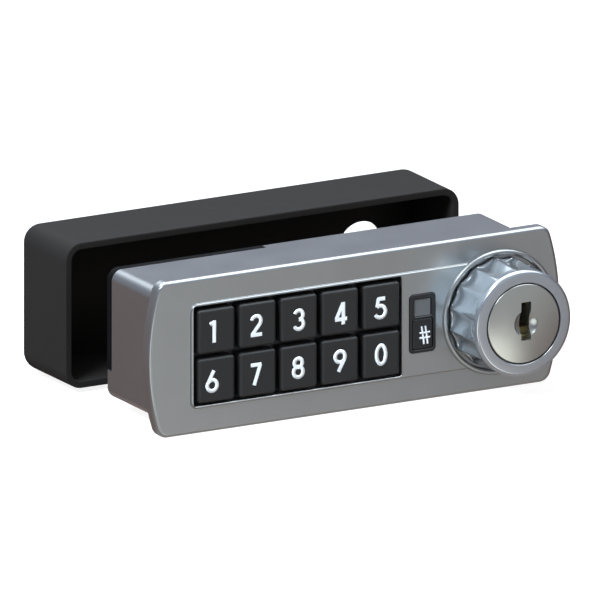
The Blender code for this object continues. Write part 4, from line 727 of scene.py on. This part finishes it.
# %% [markdown]
# ## The digits
# The digits are printed in white, in a plain geometric hand: a 1 with no foot, a straight stem on the 6 and
# the 9. A font would bring its own style, so each digit is drawn here as the path of a pen. Geometry Nodes
# sweep a flat nib along the paths and fuse the strokes, so that the nib's width is one number to change.

# %% Pen paths, in millimetres about the centre of each digit
TOP = 2.275
SIX = [arc((0, -0.95), 1.325, 0, 360), [(0.45, 2.66), (-1.165, -0.318)]]
PATHS = {
    "0": [oval((0, 0), 1.22, TOP, 0, 360)],
    "1": [[(0.35, -2.7), (0.35, 2.7)], [(-0.75, 1.75), (0.35, 2.4)]],
    "2": [arc((0, 1.05), 1.225, 165, -38) + [(-1.2, -2.2)], [(-1.5, -TOP), (1.5, -TOP)]],
    "3": [arc((-0.05, 1.15), 1.125, 160, -90), arc((-0.05, -1.05), 1.225, 90, -160)],
    "4": [[(0.52, 2.5), (-1.25, -1.2)], [(-1.6, -1.4), (1.6, -1.4)], [(0.62, 2.7), (0.62, -2.7)]],
    "5": [[(-0.8, TOP), (1.25, TOP)], [(-0.5, 2.4), (-0.92, 0.3)], arc((-0.05, -0.85), 1.42, 128, -155)],
    "6": SIX,
    "7": [[(-1.4, TOP), (1.45, TOP)], [(1.15, TOP), (-0.5, -2.66)]],
    "8": [arc((0, 1.2), 1.075, 0, 360), arc((0, -1.0), 1.275, 0, 360)],
    "9": [[(-x, -z) for x, z in path] for path in SIX],
    "hash": [[(-0.192, -2.2), (-0.808, 2.2)], [(0.808, -2.2), (0.192, 2.2)], [(-1.4, 0.62), (1.4, 0.62)],
             [(-1.4, -0.62), (1.4, -0.62)]],
}

# %% The pen as Geometry Nodes
pen, pen_in = geometry_tree("flat_nib", "Ink", "Nib Width", "Ink Height")
upright = node(pen, "GeometryNodeSetCurveNormal", {"Curve": pen_in["Geometry"], "Normal": (0, 1, 0)},
               mode="FREE")
nib = node(pen, "GeometryNodeCurvePrimitiveQuadrilateral",
           {"Width": pen_in["Ink Height"], "Height": pen_in["Nib Width"]})
swept = node(pen, "GeometryNodeCurveToMesh", {"Curve": upright, "Profile Curve": nib, "Fill Caps": True})
fused = node(pen, "GeometryNodeMeshBoolean", {"Mesh 2": swept, "Self Intersection": True},
             operation="UNION", solver="EXACT")
end_tree(pen, fused, pen_in["Ink"])

# %% Write the digits and the hash sign
INK_HEIGHT = 0.1 * MM
INK_PROUD = 0.03 * MM
SAME_POINT = 0.001


def write(sign, key, shift, nib_width):
    """One sign, swept and laid on the front of its key."""
    curve = bpy.data.curves.new("path_" + sign, "CURVE")
    curve.dimensions = "3D"
    for path in PATHS[sign]:
        looped = math.dist(path[0], path[-1]) < SAME_POINT
        points = path[:-1] if looped else path
        spline = curve.splines.new("POLY")
        spline.points.add(len(points) - 1)
        spline.use_cyclic_u = looped
        for point, (x, z) in zip(spline.points, points):
            point.co = (x * MM, 0, z * MM, 1)
    piece = run_tree(add_piece("sign_" + sign, curve), pen,
                     {"Nib Width": nib_width, "Ink Height": INK_HEIGHT, "Ink": LOOKS["white_print"]})
    low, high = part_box(key)
    x, z = front_centre(low, high)
    y = low.y - INK_PROUD + INK_HEIGHT / 2
    piece.data.transform(Matrix.Translation((x + shift[0], y, z + shift[1])))
    return dress(piece, key, "white_nylon", look="white_print")


DIGIT_SHIFTS = (0.0, -0.9, -0.3, 0.1, 0.3, -0.2, -1.1, -0.4, -0.1, 0.05)
DIGIT_DROPS = (0.10, 0.25, 0.30, 0.50, 0.48, 0.62, 0.50, 0.27, 0.27, 0.07)
for number, (shift, drop) in enumerate(zip(DIGIT_SHIFTS, DIGIT_DROPS)):
    digit = write(str(number), "key_%d" % number, (shift * MM, -drop * MM), nib_width=0.92 * MM)
write("hash", "key_hash", (0.5 * MM, -0.35 * MM), nib_width=0.44 * MM)
print("digit faces:", len(digit.data.polygons))

# %% [markdown]
# ## The hash panel
# A black bezel frames a grey window and the # key. The bezel is a plate with two openings, and the window a
# smoked tile set just below its face.


# %% Bezel and window
def tile(name, corner, room=0.0):
    """The outline of a solid's front, with room round it."""
    low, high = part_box(name)
    return rounded(high.x - low.x + 2 * room, high.z - low.z + 2 * room, corner + room,
                   front_centre(low, high))


WINDOW_CORNER = 0.2 * MM
TILE_ROOM = 0.1 * MM
bezel_low, bezel_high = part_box("indicator_bezel")
window_low, window_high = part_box("status_window")
bezel = plate("bezel", rounded(PANEL_LENGTH, PANEL_HEIGHT, 1.0 * MM, PANEL_CENTRE), bezel_low.y,
              bezel_high.y, front=0.2 * MM)
window_hole = opening("window_hole", tile("status_window", WINDOW_CORNER, TILE_ROOM), bezel_low.y,
                      bezel_high.y + OVERRUN, lead=0.15 * MM)
hash_hole = opening("hash_hole", tile("key_hash", 0.5 * MM, TILE_ROOM), bezel_low.y,
                    bezel_high.y + OVERRUN, lead=0.1 * MM)
combine(bezel, "DIFFERENCE", window_hole, hash_hole)
dress(bezel, "case", "panel_plastic", "indicator_bezel")
window = plate("window", tile("status_window", WINDOW_CORNER), window_low.y, window_high.y, front=0.1 * MM)
dress(window, "case", "smoked_plastic", "status_window")

# %% [markdown]
# ## The knob
# The knob is a cap with fifteen broad flutes. Turning gives its profile, and a Geometry Nodes tree then
# presses the flutes into the skirt: a point's angle says where it is in its flute, and it moves in towards
# the axis by the depth that the flute's curve has there. At the base a low ledge keeps a share of the depth.

# %% Knob profile
KNOB_FACE_Y = knob_low.y
KNOB_BASE_Y = -67.7 * MM
PLUG_BORE = 9.95 * MM
FACE_RADIUS = 12.0 * MM
KNOB_RADIUS = 12.9 * MM
BASE_RADIUS = 13.4 * MM
BASE_ROUND = 0.3 * MM
BORE_CHAMFER = 0.05 * MM
CAP_DEPTH = 1.3 * MM
HUB_RADIUS = 8.4 * MM
HUB_BORE = 6.3 * MM
HUB_END_Y = -62.4 * MM
HUB_GROOVE_RADIUS = 7.9 * MM
KNOB_GROOVE = (-64.3 * MM, -63.1 * MM)
PLUG_HEAD = 4.0 * MM
SKIRT_ROWS = 14
LEDGE = 0.3 * MM

face_round = KNOB_RADIUS - FACE_RADIUS
skirt_y = KNOB_FACE_Y + CAP_DEPTH
skirt_end = KNOB_BASE_Y - BASE_ROUND
skirt = [(KNOB_RADIUS + (BASE_RADIUS - KNOB_RADIUS) * i / SKIRT_ROWS,
          skirt_y + (skirt_end - skirt_y) * i / SKIRT_ROWS) for i in range(1, SKIRT_ROWS + 1)]
ledge_y = skirt_end - LEDGE
ledge = [(BASE_RADIUS - 0.05 * MM, ledge_y - 0.1 * MM), (BASE_RADIUS - 0.04 * MM, ledge_y)]
knob_profile = [(HUB_BORE, HUB_END_Y), (HUB_BORE, KNOB_FACE_Y + PLUG_HEAD + GAP),
                (PLUG_BORE, KNOB_FACE_Y + PLUG_HEAD + GAP), (PLUG_BORE, KNOB_FACE_Y + BORE_CHAMFER),
                (PLUG_BORE + BORE_CHAMFER, KNOB_FACE_Y)]
knob_profile += [(FACE_RADIUS + x, KNOB_FACE_Y + face_round - y)
                 for x, y in arc((0, 0), face_round, 90, 0, 12)]
knob_profile += [(KNOB_RADIUS, skirt_y - 0.05 * MM), (KNOB_RADIUS, skirt_y)]
knob_profile += skirt[:-1] + ledge + skirt[-1:]
knob_profile += [(BASE_RADIUS - BASE_ROUND + x, skirt_end + y)
                 for x, y in arc((0, 0), BASE_ROUND, 0, 90, 4)][1:]
knob_profile += [(HUB_RADIUS, KNOB_BASE_Y), (HUB_RADIUS, KNOB_GROOVE[0]),
                 (HUB_GROOVE_RADIUS, KNOB_GROOVE[0]), (HUB_GROOVE_RADIUS, KNOB_GROOVE[1]),
                 (HUB_RADIUS, KNOB_GROOVE[1]), (HUB_RADIUS, HUB_END_Y)]
knob_blank = turned("knob_cap", knob_profile, steps=450, closed=True)

# %% Flutes as Geometry Nodes
FLUTES = {
    "Flutes": 15.0, "Depth": 1.05 * MM, "Front Depth": 0.55 * MM, "Axis X": KNOB_X, "Front Y": skirt_y,
    "Run In": 1.2 * MM, "Base Y": ledge_y - 0.05 * MM, "Inner Radius": 11.7 * MM,
    "Ridge Softness": 0.14, "Base Share": 0.65}
fluting, knob_in = geometry_tree("flutes", "Metal", *FLUTES)
spot = node(fluting, "ShaderNodeSeparateXYZ", {0: node(fluting, "GeometryNodeInputPosition")}).outputs
from_x = calc("SUBTRACT", spot["X"], knob_in["Axis X"])
radial = node(fluting, "ShaderNodeCombineXYZ", {"X": from_x, "Z": spot["Z"]})
radius = node(fluting, "ShaderNodeVectorMath", {0: radial}, operation="LENGTH").outputs["Value"]
outward = node(fluting, "ShaderNodeVectorMath", {0: radial}, operation="NORMALIZE")
turns = calc("DIVIDE", calc("ARCTAN2", spot["Z"], from_x), 2 * math.pi)
cell = calc("FRACT", calc("MULTIPLY", turns, knob_in["Flutes"]))
swing = calc("SINE", calc("MULTIPLY", cell, math.pi))
soft = knob_in["Ridge Softness"]
softened = calc("MULTIPLY_ADD", swing, swing, calc("MULTIPLY", soft, soft))
wave = calc("SUBTRACT", calc("SQRT", softened), soft)
down_skirt = node(fluting, "ShaderNodeMapRange", {
    0: spot["Y"], 1: knob_in["Front Y"], 2: knob_in["Base Y"], 3: knob_in["Front Depth"],
    4: knob_in["Depth"]})
run_end = calc("ADD", knob_in["Front Y"], knob_in["Run In"])
behind = node(fluting, "ShaderNodeMapRange", {0: spot["Y"], 1: knob_in["Front Y"], 2: run_end},
              interpolation_type="SMOOTHSTEP")
outside = calc("GREATER_THAN", radius, knob_in["Inner Radius"])
ahead_of_base = calc("LESS_THAN", spot["Y"], knob_in["Base Y"])
beyond_base = calc("SUBTRACT", 1, knob_in["Base Share"])
along_skirt = calc("MULTIPLY_ADD", ahead_of_base, beyond_base, knob_in["Base Share"])
outer = calc("MULTIPLY", outside, along_skirt)
depth = calc("MULTIPLY", calc("MULTIPLY", wave, down_skirt), calc("MULTIPLY", behind, outer))
push = node(fluting, "ShaderNodeVectorMath", {0: outward, "Scale": calc("MULTIPLY", depth, -1)},
            operation="SCALE")
moved = node(fluting, "GeometryNodeSetPosition", {"Geometry": knob_in["Geometry"], "Offset": push})
end_tree(fluting, moved, knob_in["Metal"])

# %% Press the flutes, and add the lugs that drive the spindle
LUG_LENGTH = 4 * MM
LUG_ROOM = 0.6 * MM
knob = run_tree(knob_blank, fluting, {**FLUTES, "Metal": LOOKS["plated_silver"]})
settled(knob)
for side in (1, -1):
    lug = rounded(LUG_LENGTH, HUB_RADIUS - HUB_BORE - LUG_ROOM, 0.2 * MM,
                  (KNOB_X, side * (HUB_RADIUS + HUB_BORE) / 2))
    combine(knob, "UNION", plate("lug", lug, HUB_END_Y - OVERRUN, knob_high.y, back=0.15 * MM))
dress(knob, "knob", "plated_silver", "knob")
print("knob faces:", len(knob.data.polygons))

# %% [markdown]
# ## The key plug
# The plug's face has a fine turned finish, a small bevel, and a round dish that guides the key into a tall
# slot. A part of a sphere cuts the dish and a narrow plate the keyway. Further plates cut the wafers' slots.

# %% Key plug
PLUG_RADIUS = 9.65 * MM
PLUG_BEVEL = 0.3 * MM
CORE_RADIUS = 6.0 * MM
CORE_GROOVE = 5.4 * MM
KEYWAY_X = KNOB_X + 0.67 * MM
KEYWAY_Z = 0.55 * MM
KEYWAY_WIDTH = 2.65 * MM
KEYWAY_HEIGHT = 9.3 * MM
KEYWAY_DEPTH = 18.0 * MM
DISH_RADIUS = 3.2 * MM
DISH_DEPTH = 1.3 * MM
DISH_OVERRUN = 1.25

plug_end_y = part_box("key_plug")[1].y
clip_low, clip_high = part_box("plug_clip")
groove_front = clip_low.y - GAP
groove_back = clip_high.y + GAP
plug_profile = [(PLUG_RADIUS - PLUG_BEVEL + x, KNOB_FACE_Y + PLUG_BEVEL - y)
                for x, y in arc((0, 0), PLUG_BEVEL, 90, 0, 5)]
plug_profile += [(PLUG_RADIUS, KNOB_FACE_Y + PLUG_HEAD), (CORE_RADIUS, KNOB_FACE_Y + PLUG_HEAD),
                 (CORE_RADIUS, groove_front), (CORE_GROOVE, groove_front), (CORE_GROOVE, groove_back),
                 (CORE_RADIUS, groove_back), (CORE_RADIUS, plug_end_y)]
plug = turned("plug", plug_profile)
ball = (DISH_RADIUS ** 2 + DISH_DEPTH ** 2) / (2 * DISH_DEPTH)
ball_y = KNOB_FACE_Y + DISH_DEPTH - ball
dish_reach = math.degrees(math.asin(DISH_RADIUS / ball)) * DISH_OVERRUN
dish_profile = [(x, ball_y + y) for x, y in arc((0, 0), ball, 90 - dish_reach, 89, 20)]
dish = turned("dish", [(dish_profile[0][0], KNOB_FACE_Y - OVERRUN)] + dish_profile, (KEYWAY_X, 0), 96)
keyway = plate("keyway", rounded(KEYWAY_WIDTH, KEYWAY_HEIGHT, 0.2 * MM, (KEYWAY_X, KEYWAY_Z)),
               KNOB_FACE_Y - OVERRUN, KNOB_FACE_Y + KEYWAY_DEPTH)
combine(plug, "DIFFERENCE", dish, keyway)
for number in (1, 2, 3, 4):
    low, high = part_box("wafer_%d" % number)
    slot_edge = rounded(high.x - low.x + 2 * GAP, 2 * CORE_RADIUS + 2 * OVERRUN, 0.1 * MM, (KNOB_X, 0))
    combine(plug, "DIFFERENCE", plate("wafer_slot", slot_edge, low.y - GAP, high.y + GAP))
dress(plug, "plug", "plug_metal", "key_plug")
print("plug faces:", len(plug.data.polygons))

# %% [markdown]
# ## The screws
# Three kinds of screw hold the cover, the board and the battery door. Their shape follows one rule, so one
# Geometry Nodes tree makes them all: a chamfered head, a cross recess and a shank, set on a point for each
# screw. Separate Booleans for each screw would give the same shape seven times over.

# %% Screws as Geometry Nodes
screws, screw_in = geometry_tree("cross_screws", "Metal", "Head Radius", "Head Height", "Chamfer",
                                 "Shank Radius", "Length", "Arm Length", "Arm Width", "Recess Depth")
head_low = calc("SUBTRACT", screw_in["Head Height"], screw_in["Chamfer"])
head_top = calc("SUBTRACT", screw_in["Head Radius"], screw_in["Chamfer"])
drum = node(screws, "GeometryNodeMeshCylinder",
            {"Vertices": 48, "Radius": screw_in["Head Radius"], "Depth": head_low})
brow = node(screws, "GeometryNodeMeshCone", {"Vertices": 48, "Radius Bottom": screw_in["Head Radius"],
                                             "Radius Top": head_top, "Depth": screw_in["Chamfer"]})
shank = node(screws, "GeometryNodeMeshCylinder",
             {"Vertices": 24, "Radius": screw_in["Shank Radius"], "Depth": screw_in["Length"]})
drum_z = calc("SUBTRACT", calc("MULTIPLY", head_low, -0.5), screw_in["Chamfer"])
brow_z = calc("MULTIPLY", screw_in["Chamfer"], -1)
shank_z = calc("MULTIPLY_ADD", screw_in["Length"], -0.5, brow_z)
body_mesh = node(screws, "GeometryNodeMeshBoolean", operation="UNION", solver="EXACT")
for mesh, z in ((drum, drum_z), (brow, brow_z), (shank, shank_z)):
    offset = node(screws, "ShaderNodeCombineXYZ", {"Z": z})
    shifted = node(screws, "GeometryNodeTransform", {"Geometry": mesh, "Translation": offset})
    fill(body_mesh, {"Mesh 2": shifted})
arms = node(screws, "GeometryNodeMeshBoolean", {"Mesh 1": body_mesh}, operation="DIFFERENCE", solver="EXACT")
recess_height = calc("MULTIPLY", screw_in["Recess Depth"], 2)
for wide, tall in (("Arm Length", "Arm Width"), ("Arm Width", "Arm Length")):
    size = node(screws, "ShaderNodeCombineXYZ",
                {"X": screw_in[wide], "Y": screw_in[tall], "Z": recess_height})
    fill(arms, {"Mesh 2": node(screws, "GeometryNodeMeshCube", {"Size": size})})
spread_out = node(screws, "GeometryNodeInstanceOnPoints", {
    "Points": screw_in["Geometry"], "Instance": arms, "Rotation": (-math.pi / 2, 0, 0)})
end_tree(screws, spread_out, screw_in["Metal"])


# %% Set the screws
def set_screws(name, nodes, head, chamfer, shank_radius):
    """Screws of one kind at the places of their solids."""
    points = bpy.data.meshes.new(name)
    points.from_pydata([head_centre(solid) for solid in nodes], [], [])
    low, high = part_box(nodes[0])
    radius = (high.x - low.x) / 2
    piece = run_tree(add_piece(name, points), screws, {
        "Head Radius": radius, "Head Height": head, "Chamfer": chamfer, "Shank Radius": shank_radius,
        "Length": high.y - low.y - chamfer, "Arm Length": 1.2 * radius, "Arm Width": 0.3 * radius,
        "Recess Depth": 0.5 * head, "Metal": LOOKS["bright_steel"]})
    settled(piece)
    dress(piece, "case", "bright_steel", *nodes)


set_screws("cover_screws", COVER_SCREWS, head=0.7 * MM, chamfer=0.15 * MM, shank_radius=0.8 * MM)
set_screws("board_screws", BOARD_SCREWS, head=0.9 * MM, chamfer=0.2 * MM, shank_radius=0.7 * MM)
set_screws("door_screw", ["battery_door_screw"], head=0.7 * MM, chamfer=0.12 * MM, shank_radius=0.7 * MM)
print("screws: 7")

# %% [markdown]
# ## The springs
# Both springs are wire wound to a rule: so many turns, from one radius to another, over a length. One tree
# winds them. The clutch spring, which shortens as the pin slides forward, moves with the pin and has its own
# mesh.

# %% Springs as Geometry Nodes
winding, wire_in = geometry_tree("wound_wire", "Metal", "Turns", "Start Radius", "End Radius", "Length",
                                 "Wire Radius")
helix = node(winding, "GeometryNodeCurveSpiral", {
    "Resolution": 40, "Rotations": wire_in["Turns"], "Start Radius": wire_in["Start Radius"],
    "End Radius": wire_in["End Radius"], "Height": wire_in["Length"]})
wire = node(winding, "GeometryNodeCurvePrimitiveCircle",
            {"Resolution": 14, "Radius": wire_in["Wire Radius"]})
wound = node(winding, "GeometryNodeCurveToMesh", {"Curve": helix, "Profile Curve": wire, "Fill Caps": True})
end_tree(winding, wound, wire_in["Metal"])

# %% Wind the springs
WIRE_RADIUS = 0.2 * MM


def spring(solid, body, turns, radii, axis):
    """A spring in the room of its solid, wound along one axis."""
    low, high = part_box(solid)
    length = (high - low)[axis] - 2 * WIRE_RADIUS
    start = (low + high) / 2
    start[axis] = low[axis] + WIRE_RADIUS
    piece = run_tree(add_piece(solid + "_wire", bpy.data.meshes.new(solid)), winding, {
        "Turns": turns, "Start Radius": radii[0], "End Radius": radii[1], "Length": length,
        "Wire Radius": WIRE_RADIUS, "Metal": LOOKS["bright_steel"]})
    towards = Vector([float(i == axis) for i in range(3)])
    piece.data.transform(Matrix.Translation(start) @ towards.to_track_quat("Z", "Y").to_matrix().to_4x4())
    settled(piece)
    return dress(piece, body, "bright_steel", solid)


spring("battery_spring", "case", turns=2.0, radii=(2.2 * MM, 4.2 * MM), axis=0)
clutch_spring = spring("clutch_spring", "clutch_pin", turns=4.0, radii=(1.5 * MM, 1.5 * MM), axis=1)
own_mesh(clutch_spring)

# %% [markdown]
# ## The battery door
# The door fills the notch in the case's lip, flush with it. A row of shallow grooves gives the thumb a hold.
# The grooves repeat, so a Geometry Nodes tree makes the row of cutters and takes them out of the plate.

# %% Door plate
DOOR_CHAMFER = 0.3 * MM
SHANK_HOLE = 0.9 * MM
HEAD_HOLE = 1.3 * MM
HEAD_DEPTH = 0.9 * MM
door_low, door_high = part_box("battery_door")
corner_x = door_low.x + BODY_CORNER
corner_z = door_high.z - BODY_CORNER
door_edge = [(door_low.x + DOOR_CHAMFER, door_low.z), (door_high.x - DOOR_CHAMFER, door_low.z),
             (door_high.x, door_low.z + DOOR_CHAMFER), (door_high.x, door_high.z)]
door_edge += arc((corner_x, corner_z), BODY_CORNER, 90, 180, CORNER_STEPS)
door_edge += [(door_low.x, door_low.z + DOOR_CHAMFER)]
door = loft("door", [[(x, y, z) for x, z in door_edge] for y in (door_low.y, door_high.y)])
head_seat_y = door_high.y - HEAD_DEPTH
well = turned("well", [(SHANK_HOLE, door_low.y - OVERRUN), (SHANK_HOLE, head_seat_y),
                       (HEAD_HOLE, head_seat_y), (HEAD_HOLE, door_high.y + OVERRUN)],
              head_centre("battery_door_screw").xz, 40)
combine(door, "DIFFERENCE", well)

# %% Grip as Geometry Nodes
GRIP_FROM_RIGHT = 11.5 * MM
GROOVES = {
    "Grooves": 7.0, "Pitch": 1.4 * MM, "Radius": 0.7 * MM, "Length": 9 * MM,
    "Start X": door_high.x - GRIP_FROM_RIGHT, "Surface Y": door_high.y,
    "Middle Z": (door_low.z + door_high.z) / 2, "Sunk": 0.35 * MM}
grip, grip_in = geometry_tree("grip_grooves", "Plastic", *GROOVES)
centre_y = calc("SUBTRACT", calc("ADD", grip_in["Surface Y"], grip_in["Radius"]), grip_in["Sunk"])
start = node(grip, "ShaderNodeCombineXYZ",
             {"X": grip_in["Start X"], "Y": centre_y, "Z": grip_in["Middle Z"]})
stride = node(grip, "ShaderNodeCombineXYZ", {"X": grip_in["Pitch"]})
row = node(grip, "GeometryNodeMeshLine",
           {"Count": calc("ROUND", grip_in["Grooves"]), "Start Location": start, "Offset": stride})
cutter = node(grip, "GeometryNodeMeshCylinder",
              {"Vertices": 32, "Radius": grip_in["Radius"], "Depth": grip_in["Length"]})
cutters = node(grip, "GeometryNodeInstanceOnPoints", {"Points": row, "Instance": cutter})
apart = node(grip, "GeometryNodeRealizeInstances", {0: cutters})
gone = node(grip, "GeometryNodeMeshBoolean", {"Mesh 1": grip_in["Geometry"], "Mesh 2": apart},
            operation="DIFFERENCE", solver="EXACT")
end_tree(grip, gone, grip_in["Plastic"])

# %% Cut the grip
# The door gets a blacker copy of its black plastic, with painted shade for the notch it sits in.
door = run_tree(door, grip, {**GROOVES, "Plastic": LOOKS["shaded_door_plastic"]})
settled(door)
dress(door, "case", "black_plastic", "battery_door", look="shaded_door_plastic")
print("door faces:", len(door.data.polygons))

# %% [markdown]
# ## The pieces that keep their solids
# The mechanism inside is seen only through gaps and from behind, and its solids already have the right
# shapes. Each takes the finish of its slot in the record.

# %% Finishes for the solids
slots = {subpart["node"]: subpart["material_slot"] for subpart in frame["record"]["subparts"]}
kept = [name for name, solid in frame["nodes"].items() if not solid.hide_render]
for name in kept:
    materials = frame["nodes"][name].data.materials
    materials.clear()
    materials.append(LOOKS[slots[name]])
print("solids kept:", len(kept))
